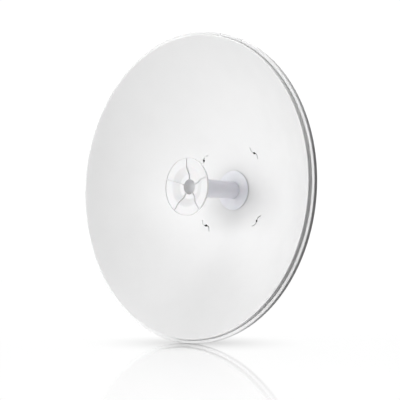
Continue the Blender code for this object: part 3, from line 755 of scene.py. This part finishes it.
def sub_face(s, radius):
    """Depth of the subreflector's face at a radius: a cone with eased ends, level outside and inside it."""
    level = SUB_LOW.y - CREST_Y + s.sub_lip_height
    share = min(max((s.sub_dish_outer - radius) / (s.sub_dish_outer - s.sub_dish_inner), 0), 1)
    near = min(share, 1 - share)
    sunk = near**2 / (2 * EASE) if near < EASE else near - EASE / 2
    sunk /= 1 - EASE
    return level + s.sub_dish_depth * (sunk if share < 0.5 else 1 - sunk)


def subreflector_profile(s):
    """From the recess's bottom over the face and the lip, and along the back to the spigot in the tube."""
    front, back, shoulder = SUB_LOW.y - CREST_Y, SUB_HIGH.y - CREST_Y, TUBE_LOW.y - CREST_Y
    floor = front + s.recess_depth
    spigot = s.tube_front_radius - s.tube_wall - GAP
    taper = (s.tube_front_radius - s.tube_rear_radius) / (FLANGE_LOW.y - TUBE_LOW.y - GAP)
    curve = spread(s.sub_dish_inner, s.sub_dish_outer, FACE_STATIONS)
    face = sub_face(s, s.sub_radius)
    lip_inner = s.sub_radius - s.sub_lip_width
    edge = 0.6 * MM
    corners = [
        (0, -floor, 0),
        (s.recess_radius, -floor, s.recess_radius - GAP),
        (s.recess_radius, -sub_face(s, s.recess_radius), edge),
    ]
    corners += [(r, -sub_face(s, r), 0) for r in curve]
    corners += [
        (lip_inner, -face, 0.5 * MM),
        (lip_inner, -front, edge),
        (s.sub_radius, -front, edge),
        (s.sub_radius, -face - s.sub_shell, edge),
    ]
    corners += [(r, -sub_face(s, r) - s.sub_shell, 0) for r in reversed(curve)]
    corners += [
        (spigot, -shoulder + GAP, 0),
        (spigot, -shoulder, 0),
        (spigot - taper * (back - shoulder), -back, 0.8 * MM),
        (0, -back, 0),
    ]
    return rounded(corners, steps=4)


def rib(s, angle):
    """A radial wall with a rounded top that stays under the lip, as (mesh, matrix)."""
    half = s.rib_width / 2
    top = CREST_Y - SUB_LOW.y - RIB_DROP
    bevel = 0.3
    loops = []
    for radius in spread(s.recess_radius + half, s.sub_radius - s.sub_lip_width / 2, RIB_STATIONS):
        face = -sub_face(s, radius)
        crown = face + min(s.rib_height, top - face)
        section = [(-1, face - RIB_ROOT), (-1, crown - half), (bevel - 1, crown - bevel * half)]
        section += [(0, crown)] + [(-share, rise) for share, rise in reversed(section)]
        loops.append([(radius, share * half, rise) for share, rise in section])
    return lofted(loops), spun(angle)


def rib_channel(s, angle):
    """The cutter for the grooves on both sides of a rib, as (mesh, matrix)."""
    half = s.rib_width / 2 + s.groove_width
    loops = []
    for radius in spread(s.recess_radius - half, s.sub_radius - s.sub_lip_width - half, RIB_STATIONS):
        face = -sub_face(s, radius)
        low, high = face - s.groove_depth, face + 2 * s.rib_height
        loops.append([(radius, -half, high), (radius, -half, low), (radius, half, low), (radius, half, high)])
    return lofted(loops), spun(angle)


class ANTENNA_OT_subreflector(Operator):
    """Builds the moulded disc in front of the reflector, with its ribs and recess"""
    bl_idname = "antenna.subreflector"
    bl_label = "Subreflector"

    def execute(self, context):
        s = context.scene.antenna_feed
        body = turned(subreflector_profile(s), FEED_STEPS, closed=False)
        channels = [rib_channel(s, turn) for turn in RIB_TURNS if turn != PLAIN_RIB]
        body = combined(body, channels, "DIFFERENCE")
        mesh = combined(body, [rib(s, turn) for turn in RIB_TURNS], "UNION")
        piece("subreflector_disc", mesh, moulded_abs(s.plastic), ["subreflector"], DISH)
        return {"FINISHED"}


class ANTENNA_OT_feed_tube(Operator):
    """Builds the tapered tube and the flange at its foot"""
    bl_idname = "antenna.feed_tube"
    bl_label = "Feed tube"

    def execute(self, context):
        s = context.scene.antenna_feed
        start, end = TUBE_LOW.y - CREST_Y, TUBE_HIGH.y - CREST_Y
        foot, rear = FLANGE_LOW.y - CREST_Y, FLANGE_HIGH.y - CREST_Y
        tube = turned(rounded([
            (s.tube_front_radius, -start, 0.6 * MM),
            (s.tube_rear_radius, -foot + GAP, 0),
            (s.tube_rear_radius, -end, 0.5 * MM),
            (s.tube_rear_radius - s.tube_wall, -end, 0.5 * MM),
            (s.tube_rear_radius - s.tube_wall, -foot + GAP, 0),
            (s.tube_front_radius - s.tube_wall, -start, 0.5 * MM),
        ]), FEED_STEPS)
        # The tube's cooler tint is a painted shade
        plastic = polished_abs("polished_abs", s.tube_painted_shade)
        piece("feed_tube_moulding", tube, plastic, ["feed_tube"], DISH)
        hole = s.tube_rear_radius + GAP
        back = foot + s.flange_thickness
        spigot = context.scene.antenna_reflector.feed_hole_radius - GAP
        step = back - s.flange_undercut
        inner = s.flange_radius - 1.5 * s.flange_undercut
        edge = 0.3 * MM
        flange = turned(rounded([
            (hole, -foot, edge),
            (s.flange_radius, -foot, 0.4 * MM),
            (s.flange_radius, -step, 0.2 * MM),
            (inner, -step, 0),
            (inner, -back, edge),
            (spigot, -back, 0),
            (spigot, -rear, edge),
            (hole, -rear, edge),
        ]), FEED_STEPS)
        # The flange's lighter white is a painted light
        plastic = polished_abs("polished_abs_painted_light", s.flange_painted_light)
        piece("feed_flange_moulding", flange, plastic, ["feed_flange"], DISH)
        return {"FINISHED"}


# Shared hardware, along local Z with its seat at z = 0

def threaded(radius, pitch, start, end, steps=24):
    """A bar with a helical thread and chamfered ends."""
    work = bmesh.new()
    depth = 0.6 * pitch
    root = radius - depth
    rows = []
    for row in range(-4, int(2 * (end - start) / pitch) + 4):
        loop = []
        for i in range(steps):
            height = start + (row + 2 * i / steps) * pitch / 2
            inside = min(height - start, end - height)
            reach = min(radius if row % 2 else root, root + max(inside, 0))
            loop.append(work.verts.new((*polar(reach, 360 * i / steps), min(max(height, start), end))))
        rows.append(loop)
    for number in range(len(rows) - 3):
        lower, upper = rows[number] + rows[number + 2][:1], rows[number + 1] + rows[number + 3][:1]
        for i in range(steps):
            work.faces.new((lower[i], lower[i + 1], upper[i + 1], upper[i]))
    bmesh.ops.remove_doubles(work, verts=work.verts, dist=2 * SAME_POINT)
    bmesh.ops.delete(work, geom=[v for v in work.verts if not v.link_faces], context="VERTS")
    bmesh.ops.holes_fill(work, edges=work.edges)
    return as_mesh(work)


def hexagon(flats, profile):
    """A turned profile cut to a hexagon with its corners on local Y."""
    edge, height = 0.3 * MM, 80 * MM
    corners = [(*polar(flats / math.sqrt(3), 90 + 60 * i), edge) for i in range(6)]
    prism = sheet([rounded(corners)], height, CUTTER_EDGE)
    return combined(turned(profile, closed=profile[0][0] > 0), [(prism, Matrix.Identity(4))], "INTERSECT")


def chamfer(flats):
    """Radius of a hexagon's round face, a radius outside its corners, and the fall between them."""
    face = 0.475 * flats
    wide = flats / math.sqrt(3) + 0.5 * MM
    return face, wide, (wide - face) * math.tan(math.radians(30))


def bolt_head(flats, height):
    """A hexagon head below its seat, with a washer face and a chamfered top."""
    face, wide, slant = chamfer(flats)
    washer = 0.4 * MM
    return hexagon(flats, [
        (0, -height), (face, -height), (wide, slant - height), (wide, -washer), (face, -washer),
        (face, 0), (0, 0),
    ])


def nut(flats, height, hole):
    """A hexagon nut above its seat, chamfered at both ends and at its thread."""
    face, wide, slant = chamfer(flats)
    lead = 0.5 * MM
    return hexagon(flats, [
        (hole + lead, 0), (face, 0), (wide, slant), (wide, height - slant), (face, height),
        (hole + lead, height), (hole, height - lead), (hole, lead),
    ])


def bolt(size, reach, grip=None):
    """A hexagon bolt, threaded to its end, with a nut on it at the grip where one is given."""
    parts = [bolt_head(size.flats, size.head), threaded(size.radius, size.pitch, -0.5 * MM, reach)]
    if grip is not None:
        hole = size.radius - 0.3 * size.pitch
        parts.append((nut(size.flats, size.nut, hole), raised(grip)))
    return merged(parts)


# Feed's rear

def lock_ring(hole):
    """A moulded ring with eight grips, ribs on its back and a collar round the tube."""
    grips, blades = 8, 16
    radius, waist = RING_HIGH.x, 42.5 * MM
    thickness = RING_HIGH.y - RING_LOW.y
    base = thickness * 0.6
    edge = 0.5 * MM
    corners = [
        (*polar(reach, 360 * (tooth + share) / grips), 0.8 * MM)
        for tooth in range(grips)
        for share, reach in ((0, radius), (0.35, radius), (0.43, waist), (0.77, waist), (0.85, radius))
    ]
    plate = sheet([rounded(corners, steps=3), ring(hole, steps=RING_STEPS)], base, edge)
    parts = [(plate, raised((thickness - base) / 2))]
    for inner, outer in ((hole, 22.5 * MM), (38 * MM, 41 * MM)):
        parts.append(sheet([ring(outer, steps=RING_STEPS), ring(inner, steps=RING_STEPS)], thickness, edge))
    blade = block(*in_mm((22, -0.9), (38.5, 0.9)), 0.3 * MM, thickness * 0.95, 0.4 * MM)
    parts += [(blade, spun(10 + 360 * i / blades)) for i in range(blades)]
    return merged(parts)


def housing(hole):
    """The housing on the tube's end: body, gasket line, and a lid with ribs and a boss round each screw."""
    half = HOUSING_HIGH.x
    front, rear = CREST_Y - HOUSING_LOW.y, CREST_Y - HOUSING_HIGH.y
    seam = rear + 9 * MM
    lid_height, rib_height = 7.5 * MM, 4 * MM
    line, inset = 0.8 * MM, 1 * MM
    outline = rounded(box_corners((-half, -half), (half, half), 12 * MM))
    body = sheet([outline, ring(hole, steps=RING_STEPS)], front - seam - line, 1.2 * MM)
    gasket = block((inset - half,) * 2, (half - inset,) * 2, 11 * MM, 2 * MM, 0.3 * MM)
    lid = sheet([outline], lid_height, 1.5 * MM)
    parts = [
        (body, raised((front + seam + line) / 2)),
        (gasket, raised(seam + line / 2)),
        (lid, raised(seam - lid_height / 2)),
    ]
    back = raised(rear + rib_height / 2)
    # Seven bars across the lid, 6 mm apart
    for across in range(-18, 19, 6):
        bar = block(*in_mm((-20, across - 1.2), (20, across + 1.2)), 1.1 * MM, rib_height, 0.5 * MM)
        parts.append((bar, back))
    for spot in LID_SCREWS:
        parts.append((sheet([ring(5 * MM, spot), ring(3.4 * MM, spot)], rib_height, 0.4 * MM), back))
    return merged(parts)


def cross_screw():
    """A pan head with a cross recess, its head above z = 0."""
    head = turned(rounded(in_mm((0, 0, 0), (3.2, 0, 0), (3.2, 1.3, 0.9), (0, 1.5, 0))), closed=False)
    blade = block(*in_mm((-1.7, -0.4), (1.7, 0.4)), 0.15 * MM, 2 * MM, 0.1 * MM)
    return combined(head, [(blade, raised(1.7 * MM) @ spun(90 * i)) for i in range(2)], "DIFFERENCE")


def connector_shell():
    """A coaxial socket pointing along local Z: hexagon, threaded barrel and open bore."""
    collar = hexagon(14.7 * MM, in_mm((0, 0), (7.9, 0), (8.9, 0.5), (8.9, 3.5), (7.9, 4), (0, 4)))
    barrel = threaded(7 * MM, 1.06 * MM, 3.5 * MM, 18 * MM, BOLT_STEPS)
    bore = turned(in_mm((0, 7), (5.4, 7), (5.4, 30), (0, 30)), closed=False)
    return merged([collar, combined(barrel, [(bore, Matrix.Identity(4))], "DIFFERENCE")])


def connector_insulator():
    """The disc that holds the pin, just above the bottom of the bore."""
    return turned(rounded(in_mm((1.1, 6.9, 0), (5.3, 6.9, 0), (5.3, 10, 0.3), (1.1, 10, 0.2))))


def connector_pin():
    """The centre contact, bored from its tip."""
    corners = in_mm((0, 6.9, 0), (1.05, 6.9, 0), (1.05, 15, 0.2), (0.6, 15, 0.1), (0.6, 12, 0), (0, 12, 0))
    return turned(rounded(corners), closed=False)


class ANTENNA_OT_feed_rear(Operator):
    """Builds the lock ring, the housing behind it and its two connectors"""
    bl_idname = "antenna.feed_rear"
    bl_label = "Feed's rear"

    def execute(self, context):
        hole = context.scene.antenna_feed.tube_rear_radius + GAP
        nylon = glass_filled_nylon()
        nickel = nickel_plated_brass()
        seat = facing("-Y", middle("feed_lock_ring"))
        piece("lock_ring", lock_ring(hole), nylon, ["feed_lock_ring"], seat)
        piece("feed_housing", housing(hole), nylon, ["feed_block"], DISH)
        screw = cross_screw()
        head_room = 1.6 * MM
        for number, (x, z) in enumerate(LID_SCREWS, 1):
            fastener(f"lid_screw_{number}", screw, [], facing("+Y", (x, HOUSING_HIGH.y - head_room, z)))
        shell, insulator, pin = connector_shell(), connector_insulator(), connector_pin()
        for side in ("left", "right"):
            node = f"feed_connector_{side}"
            top = middle(node)
            top.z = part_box(node)[1].z
            seat = facing("-Z", top)
            piece(f"connector_shell_{side}", shell.copy(), nickel, [node], seat)
            piece(f"connector_insulator_{side}", insulator.copy(), ptfe(), [], seat)
            piece(f"connector_pin_{side}", pin.copy(), nickel, [], seat)
        return {"FINISHED"}


# Studs and hub plate

def stud_shaft(radius):
    """A threaded stud along local Z whose front end has a hexagon socket."""
    tip, end = CREST_Y - STUD_LOW.y, CREST_Y - STUD_HIGH.y
    bar = threaded(radius, M5.pitch, end, tip)
    key_flats, key_depth = 2.5 * MM, 3 * MM
    key = [polar(key_flats / math.sqrt(3), 60 * i) for i in range(6)]
    socket_cutter = sheet([key], 2 * key_depth, CUTTER_EDGE)
    return combined(bar, [(socket_cutter, raised(tip))], "DIFFERENCE")


def spacer(s, hole, x, z):
    """A fluted sleeve from the hub plate to the reflector, its front end following the bowl's back."""
    radius, flute, blank = 6 * MM, 0.35 * MM, 20 * MM
    outline = [polar(radius - flute * (i % 4 == 0), 360 * i / BOLT_STEPS) for i in range(BOLT_STEPS)]
    sleeve = sheet([outline, ring(hole, steps=HOLE_STEPS)], blank, 0.4 * MM)
    sleeve.transform(Matrix.Translation((x, z, 0)))
    rear = CREST_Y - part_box("spacer_1")[1].y
    for vertex in sleeve.vertices:
        reach = math.hypot(vertex.co.x, vertex.co.y)
        back = s.sheet * math.hypot(1, bowl_slope(s, reach)) + GAP
        front = -bowl(s, reach) - back
        vertex.co.z += front - blank / 2 if vertex.co.z > 0 else rear + blank / 2
    return sleeve


class ANTENNA_OT_studs(Operator):
    """Builds the four studs in the slots, with their spacers and nuts"""
    bl_idname = "antenna.studs"
    bl_label = "Studs"

    def execute(self, context):
        s = context.scene.antenna_slots
        hole = s.stud_radius + GAP
        oxide, nylon = black_oxide_steel(), glass_filled_nylon()
        shaft = stud_shaft(s.stud_radius)
        hexnut = nut(M5.flats, STUD_NUT_HIGH.y - STUD_NUT_LOW.y, hole)
        for number in range(1, 5):
            spot = middle(f"stud_{number}")
            seat = DISH @ Matrix.Translation((spot.x, spot.z, 0))
            piece(f"stud_shaft_{number}", shaft.copy(), oxide, [f"stud_{number}"], seat)
            sleeve = spacer(context.scene.antenna_reflector, hole, spot.x, spot.z)
            piece(f"spacer_sleeve_{number}", sleeve, nylon, [f"spacer_{number}"], DISH)
            seat = facing("+Y", (spot.x, STUD_NUT_LOW.y, spot.z)) @ spun(90)
            fastener(f"stud_hexnut_{number}", hexnut, [f"stud_nut_{number}"], seat)
        return {"FINISHED"}


class ANTENNA_OT_hub_plate(Operator):
    """Builds the flat plate that carries the reflector"""
    bl_idname = "antenna.hub_plate"
    bl_label = "Hub plate"

    def execute(self, context):
        s = context.scene.antenna_bracket
        half = HUB_HIGH.x
        outlines = [rounded(box_corners((-half, -half), (half, half), s.hub_corner))]
        outlines.append(ring(s.hub_hole_radius, steps=RING_STEPS))
        outlines += [ring(s.port_radius, (0, z)) for z in (-s.port_rise, s.port_rise)]
        for number in range(1, 5):
            for node, size in ((f"stud_{number}", M5), (f"foot_bolt_{number}", M6)):
                spot = middle(node)
                outlines.append(ring(size.radius + GAP, (spot.x, spot.z), HOLE_STEPS))
        mesh = sheet(outlines, s.hub_sheet, 0.5 * MM)
        seat = facing("-Y", middle("hub_plate"))
        piece("hub_sheet", mesh, galvanised_steel(s.zinc), ["hub_plate"], seat)
        return {"FINISHED"}


# Brackets

def arc_slot(centre, radius, half, towards, swing, steps=16):
    """A slot with round ends that follows an arc. Angles are in degrees."""
    first, last = towards - swing, towards + swing
    turns = [22.5 * i for i in range(1, 8)]
    outer = [polar(radius + half, a, centre) for a in spread(first, last, steps)]
    far = [polar(half, last + turn, polar(radius, last, centre)) for turn in turns]
    inner = [polar(radius - half, a, centre) for a in spread(last, first, steps)]
    near = [polar(half, first + 180 + turn, polar(radius, first, centre)) for turn in turns]
    return outer + far + inner + near


def ear(s):
    """The right angle bracket: an upright ear whose foot is bent outwards at the front.
    Its flat pattern runs forward along local X, with local Y down and the foot bent to local Z."""
    sheet_half = s.ear_sheet / 2
    fold = 1.5 * s.ear_sheet
    half = EAR_HIGH.z
    start = EAR_HIGH.y - EAR_LOW.y - sheet_half - fold
    flat = start + fold * math.pi / 2
    reach = flat + EAR_HIGH.x - EAR_LOW.x - sheet_half - fold
    rear, foot = 24 * MM, 8 * MM
    outline = rounded([(0, -half, rear), (reach, -half, foot), (reach, half, foot), (0, half, rear)])
    pivot = middle("pivot_bolt_right")
    lock = middle("lock_bolt_right")
    centre = (EAR_HIGH.y - pivot.y, -pivot.z)
    clear = M8.radius + GAP
    down, swing = -90, 18
    holes = [ring(clear, centre, BORE_STEPS), arc_slot(centre, lock.z - pivot.z, clear, down, swing)]
    for number in (3, 4):
        spot = middle(f"foot_bolt_{number}")
        along = flat + spot.x - EAR_LOW.x - sheet_half - fold
        holes.append(ring(M6.radius + GAP, (along, -spot.z), HOLE_STEPS))
    mesh = bent(sheet([outline, *holes], s.ear_sheet, 0.5 * MM), start, fold)
    # Local X turns to -Y, local Y to -Z and local Z to X
    turn = Matrix(((0, 0, 1, 0), (-1, 0, 0, 0), (0, -1, 0, 0), (0, 0, 0, 1)))
    return merged([(mesh, Matrix.Translation((EAR_LOW.x + sheet_half, EAR_HIGH.y, 0)) @ turn)])


class ANTENNA_OT_ears(Operator):
    """Builds the two slotted angle brackets"""
    bl_idname = "antenna.ears"
    bl_label = "Angle brackets"

    def execute(self, context):
        s = context.scene.antenna_bracket
        right = ear(s)
        left = merged([(right, Matrix.Scale(-1, 4, (1, 0, 0)))])
        for side, mesh in (("left", left), ("right", right)):
            node = f"ear_bracket_{side}"
            piece(f"angle_bracket_{side}", mesh, galvanised_steel(s.zinc), [node])
        return {"FINISHED"}


class ANTENNA_OT_mast_bracket(Operator):
    """Builds the U bracket, whose web is the mast plate"""
    bl_idname = "antenna.mast_bracket"
    bl_label = "Mast bracket"

    def execute(self, context):
        s = context.scene.antenna_bracket
        sheet_half = s.mast_sheet / 2
        fold = s.mast_sheet * 1.25
        start = MAST_HIGH.x - sheet_half - fold
        flat = start + fold * math.pi / 2
        reach = flat + MAST_HIGH.y - MAST_LOW.y - sheet_half - fold
        step = flat + 3 * MM
        top, shoulder = MAST_HIGH.z, 60 * MM
        arm, notch, corner = 20 * MM, 3 * MM, 8 * MM
        upper = [
            (reach, -shoulder, arm), (reach, shoulder, arm), (step, shoulder, notch),
            (step, top, corner), (-step, top, corner), (-step, shoulder, notch),
        ]
        outline = rounded(upper + [(-x, -y, radius) for x, y, radius in upper])
        clear = M8.radius + GAP
        holes = [ring(clear, middle(f"clamp_bolt_{number}").xz, BORE_STEPS) for number in range(1, 5)]
        for node in ("pivot_bolt_right", "lock_bolt_right"):
            spot = middle(node)
            across = flat - spot.y - sheet_half - fold
            holes += [ring(clear, (sign * across, spot.z), BORE_STEPS) for sign in (-1, 1)]
        mesh = sheet([outline, *holes], s.mast_sheet, 0.6 * MM)
        for sign in (1, -1):
            mesh = bent(mesh, start, fold, sign)
        seat = facing("-Y", (0, -sheet_half, 0))
        piece("mast_channel", mesh, galvanised_steel(s.zinc), ["mast_bracket"], seat)
        return {"FINISHED"}


def clamp_strap(s):
    """A V strap in plan view, its jaws toothed where they grip the mast, with two bolt holes."""
    t = s.mast_sheet
    clear = s.mast_radius
    ear_y, peak, wide = CLAMP_LOW.y, CLAMP_HIGH.y, CLAMP_HIGH.x
    slope_end = peak - ear_y - t
    outside = [(wide, ear_y, 1 * MM), (wide, ear_y + t, 1 * MM), (slope_end, ear_y + t, 5 * MM), (0, peak, 0)]
    outside += [(-x, y, r) for x, y, r in reversed(outside[:3])]
    # Nine points along the jaw, every other one a tooth that stands square to its slope of 45 degrees
    first, pitch, tooth = 0.3, 0.05, 0.8 * MM * 0.707
    teeth = []
    for i in range(9):
        share = first + pitch * i
        lift = tooth if i % 2 else 0
        teeth.append((-clear * (1 - share) - lift, ear_y + clear * share + lift, 0))
    inside = [(-clear, ear_y, 3 * MM), *teeth, (0, ear_y + clear, 0)]
    inside += [(-x, y, r) for x, y, r in reversed(inside[:-1])]
    strap = sheet([rounded(outside + inside, steps=4)], CLAMP_HIGH.z - CLAMP_LOW.z, 0.6 * MM)
    bore, depth = M8.radius + GAP, 20 * MM
    drill = turned([(0, -depth), (bore, -depth), (bore, depth), (0, depth)], BORE_STEPS, closed=False)
    across = CLAMP_BOLT_HIGH.x - M8.flats / 2
    return combined(strap, [(drill, facing("+Y", (x, ear_y, 0))) for x in (-across, across)], "DIFFERENCE")


class ANTENNA_OT_clamps(Operator):
    """Builds the two V straps that hold the mast"""
    bl_idname = "antenna.clamps"
    bl_label = "Mast clamps"

    def execute(self, context):
        s = context.scene.antenna_bracket
        strap, steel = clamp_strap(s), galvanised_steel(s.zinc)
        for side in ("upper", "lower"):
            node = f"mast_clamp_{side}"
            seat = raised(middle(node).z)
            piece(f"clamp_strap_{side}", strap.copy(), steel, [node], seat)
        return {"FINISHED"}


class ANTENNA_OT_bolts(Operator):
    """Builds the foot, pivot, lock and clamp bolts and the clamp nuts"""
    bl_idname = "antenna.bolts"
    bl_label = "Bolts"

    def execute(self, context):
        foot = bolt(M6, FOOT_REACH, FOOT_GRIP)
        pivot = bolt(M8, PIVOT_REACH, PIVOT_GRIP)
        clamp = bolt(M8, CLAMP_BOLT_HIGH.y - CLAMP_BOLT_LOW.y - M8.head)
        hexnut = nut(M8.flats, CLAMP_NUT_HIGH.y - CLAMP_NUT_LOW.y, M8.radius + GAP)
        for number in range(1, 5):
            spot = middle(f"foot_bolt_{number}")
            spot.y = FOOT_BOLT_HIGH.y - M6.head
            fastener(f"foot_screw_{number}", foot, [f"foot_bolt_{number}"], facing("-Y", spot))
            spot = middle(f"clamp_bolt_{number}")
            spot.y = CLAMP_BOLT_LOW.y + M8.head
            fastener(f"clamp_screw_{number}", clamp, [f"clamp_bolt_{number}"], facing("+Y", spot))
            spot.y = CLAMP_NUT_LOW.y
            seat = facing("+Y", spot) @ spun(90)
            fastener(f"clamp_hexnut_{number}", hexnut, [f"clamp_nut_{number}"], seat)
        for kind in ("pivot", "lock"):
            for side, sign, direction in (("left", -1, "+X"), ("right", 1, "-X")):
                spot = middle(f"{kind}_bolt_{side}")
                spot.x = sign * (PIVOT_HIGH.x - M8.head)
                fastener(f"{kind}_screw_{side}", pivot, [f"{kind}_bolt_{side}"], facing(direction, spot))
        return {"FINISHED"}


# Studio

class ANTENNA_OT_studio(Operator):
    """Builds the floor, the lights and the camera"""
    bl_idname = "antenna.studio"
    bl_label = "Studio"

    def execute(self, context):
        s = context.scene.antenna_studio
        studio_floor(s)
        studio_sky(context.scene, s)
        camera = bpy.data.objects.new("camera", bpy.data.cameras.new("camera"))
        camera.data.lens = s.lens
        camera.location = s.camera_place
        look = Vector(s.camera_aim) - Vector(s.camera_place)
        camera.rotation_euler = look.to_track_quat("-Z", "Y").to_euler()
        context.scene.collection.objects.link(camera)
        context.scene.camera = camera
        context.scene.view_settings.view_transform = "Standard"
        return {"FINISHED"}


def studio_floor(s):
    """Two sheets, one on the other, turned so that their sides run along the camera's sight. The wide one is
    only seen. The other, under the dish and to its left, also throws light back up, so that the rim's right
    side stays dark."""
    sight = (Vector(s.camera_aim) - Vector(s.camera_place)).xy.normalized()
    across = Vector((sight.y, -sight.x))
    centre = Vector(s.camera_aim).xy
    material = frosted_acrylic_with_painted_shade(centre, sight)
    half = s.floor_size / 2
    reach = s.bounce_length / 2
    sizes = (
        ("studio_floor", half, half, half, REFLECTOR_LOW.z - 0.2 * MM),
        ("studio_bounce", s.bounce_left, s.bounce_right, reach, REFLECTOR_LOW.z),
    )
    for name, left, right, reach, height in sizes:
        work = bmesh.new()
        corners = [(-left, -reach), (right, -reach), (right, reach), (-left, reach)]
        work.faces.new([work.verts.new((*(centre + across * u + sight * v), height)) for u, v in corners])
        mesh = bpy.data.meshes.new(name)
        work.to_mesh(mesh)
        work.free()
        mesh.materials.append(material)
        sheet_floor = bpy.data.objects.new(name, mesh)
        bpy.context.scene.collection.objects.link(sheet_floor)
        sheet_floor.visible_diffuse = name == "studio_bounce"


def frosted_acrylic_with_painted_shade(centre, sight):
    """A backlit sheet of opal acrylic: a faint mirror image that fades with distance and in steep views, and
    a soft painted shade at the dish's foot, where its glow is painted darker."""
    def build(tree):
        point = add(tree, "ShaderNodeTexCoord")
        along = add(
            tree, "ShaderNodeVectorMath", {0: (point, "Object"), 1: (*sight, 0)}, operation="DOT_PRODUCT"
        )
        start = centre.dot(sight)
        near_end, far_end = MIRROR[0][0], MIRROR[-1][0]
        place_along = add(tree, "ShaderNodeMapRange", {
            "Value": (along, "Value"), "From Min": start + near_end, "From Max": start + far_end,
        })
        share = add(tree, "ShaderNodeValToRGB", {"Fac": (place_along, "Result")})
        stops = share.color_ramp.elements
        for number, (distance, mirror) in enumerate(MIRROR):
            stop = stops[number] if number < 2 else stops.new(1)
            stop.position = (distance - near_end) / (far_end - near_end)
            stop.color = (mirror, mirror, mirror, 1)
        gloss = add(tree, "ShaderNodeBsdfGlossy", {"Color": (1, 1, 1, 1), "Roughness": 0.04})
        matt = add(tree, "ShaderNodeBsdfDiffuse", {"Color": FLOOR_WHITE})
        # The glow is painted darker near the dish's foot: a painted shade, not one that the lights cast
        foot_point = (0, PAINTED_SHADE_FOOT_Y, REFLECTOR_LOW.z)
        foot = add(tree, "ShaderNodeVectorMath", {0: (point, "Object"), 1: foot_point}, operation="DISTANCE")
        near = add(tree, "ShaderNodeMapRange", {
            "Value": (foot, "Value"), "From Max": PAINTED_SHADE_REACH, "To Min": 1, "To Max": 0,
        })
        shade = add(tree, "ShaderNodeMath", {0: (near, "Result"), 1: 2.0}, operation="POWER")
        power = add(tree, "ShaderNodeMapRange", {
            "Value": (shade, "Value"), "To Min": FLOOR_GLOW, "To Max": FLOOR_GLOW - PAINTED_SHADE_DEPTH,
        })
        glow = add(tree, "ShaderNodeEmission", {"Color": (1, 1, 1, 1), "Strength": (power, "Result")})
        lit = add(tree, "ShaderNodeAddShader", {0: (matt, "BSDF"), 1: (glow, "Emission")})
        glance = add(tree, "ShaderNodeFresnel", {"IOR": ACRYLIC_IOR})
        shares = {0: (share, "Color"), 1: (glance, "Fac")}
        mirrored = add(tree, "ShaderNodeMath", shares, operation="MULTIPLY")
        both = add(tree, "ShaderNodeMixShader", {
            "Fac": (mirrored, "Value"), 1: (lit, "Shader"), 2: (gloss, "BSDF"),
        })
        output = tree.nodes["Material Output"]
        tree.links.new(both.outputs[0], output.inputs["Surface"])
        return {}

    return finish("frosted_acrylic_with_painted_shade", build)


def studio_sky(scene, s):
    """A white backdrop, and soft round patches of light where softboxes would stand."""
    world = bpy.data.worlds.new("studio")
    scene.world = world
    world.use_nodes = True
    tree = world.node_tree
    tree.nodes.clear()
    point = add(tree, "ShaderNodeTexCoord")
    total = None
    for azimuth, elevation, width, power in SOFTBOXES:
        turn, rise = math.radians(azimuth), math.radians(elevation)
        heading = (math.cos(turn) * math.cos(rise), math.sin(turn) * math.cos(rise), math.sin(rise))
        aims = {0: (point, "Generated"), 1: heading}
        near = add(tree, "ShaderNodeVectorMath", aims, operation="DOT_PRODUCT")
        patch = add(
            tree, "ShaderNodeMapRange",
            {"Value": (near, "Value"), "From Min": math.cos(math.radians(width)), "From Max": 1.0,
             "To Min": 0.0, "To Max": power * s.light},
            interpolation_type="SMOOTHSTEP",
        )
        start = (total, "Value") if total else s.fill
        total = add(tree, "ShaderNodeMath", {0: (patch, "Result"), 1: start}, operation="ADD")
    ray = add(tree, "ShaderNodeLightPath")
    level = add(
        tree, "ShaderNodeMix",
        {"Factor_Float": (ray, "Is Camera Ray"), "A_Float": (total, "Value"), "B_Float": s.backdrop},
    )
    glow = add(tree, "ShaderNodeBackground", {"Color": (1, 1, 1, 1), "Strength": (level, "Result_Float")})
    add(tree, "ShaderNodeOutputWorld", {"Surface": (glow, "Background")})


class ANTENNA_PT_panel(Panel):
    """Lists the antenna's operators and their settings"""
    bl_label = "Dish antenna"
    bl_idname = "ANTENNA_PT_panel"
    bl_space_type = "VIEW_3D"
    bl_region_type = "UI"
    bl_category = "Dish antenna"

    def draw(self, context):
        for name, group in SETTINGS.items():
            box = self.layout.box()
            box.label(text=group.__doc__)
            for key in group.__annotations__:
                box.prop(getattr(context.scene, name), key)
        for operator in OPERATORS:
            self.layout.operator(operator.bl_idname)


SETTINGS = {
    "antenna_reflector": ReflectorSettings,
    "antenna_slots": SlotSettings,
    "antenna_feed": FeedSettings,
    "antenna_bracket": BracketSettings,
    "antenna_studio": StudioSettings,
}
OPERATORS = (
    ANTENNA_OT_reflector,
    ANTENNA_OT_subreflector,
    ANTENNA_OT_feed_tube,
    ANTENNA_OT_feed_rear,
    ANTENNA_OT_studs,
    ANTENNA_OT_hub_plate,
    ANTENNA_OT_ears,
    ANTENNA_OT_mast_bracket,
    ANTENNA_OT_clamps,
    ANTENNA_OT_bolts,
    ANTENNA_OT_studio,
)


def register():
    for name, group in SETTINGS.items():
        bpy.utils.register_class(group)
        setattr(bpy.types.Scene, name, PointerProperty(type=group))
    for item in (*OPERATORS, ANTENNA_PT_panel):
        bpy.utils.register_class(item)


def unregister():
    for item in reversed((*OPERATORS, ANTENNA_PT_panel)):
        bpy.utils.unregister_class(item)
    for name, group in SETTINGS.items():
        delattr(bpy.types.Scene, name)
        bpy.utils.unregister_class(group)


def main():
    register()
    for operator in OPERATORS:
        group, name = operator.bl_idname.split(".")
        getattr(getattr(bpy.ops, group), name)()


if __name__ == "__main__":
    main()
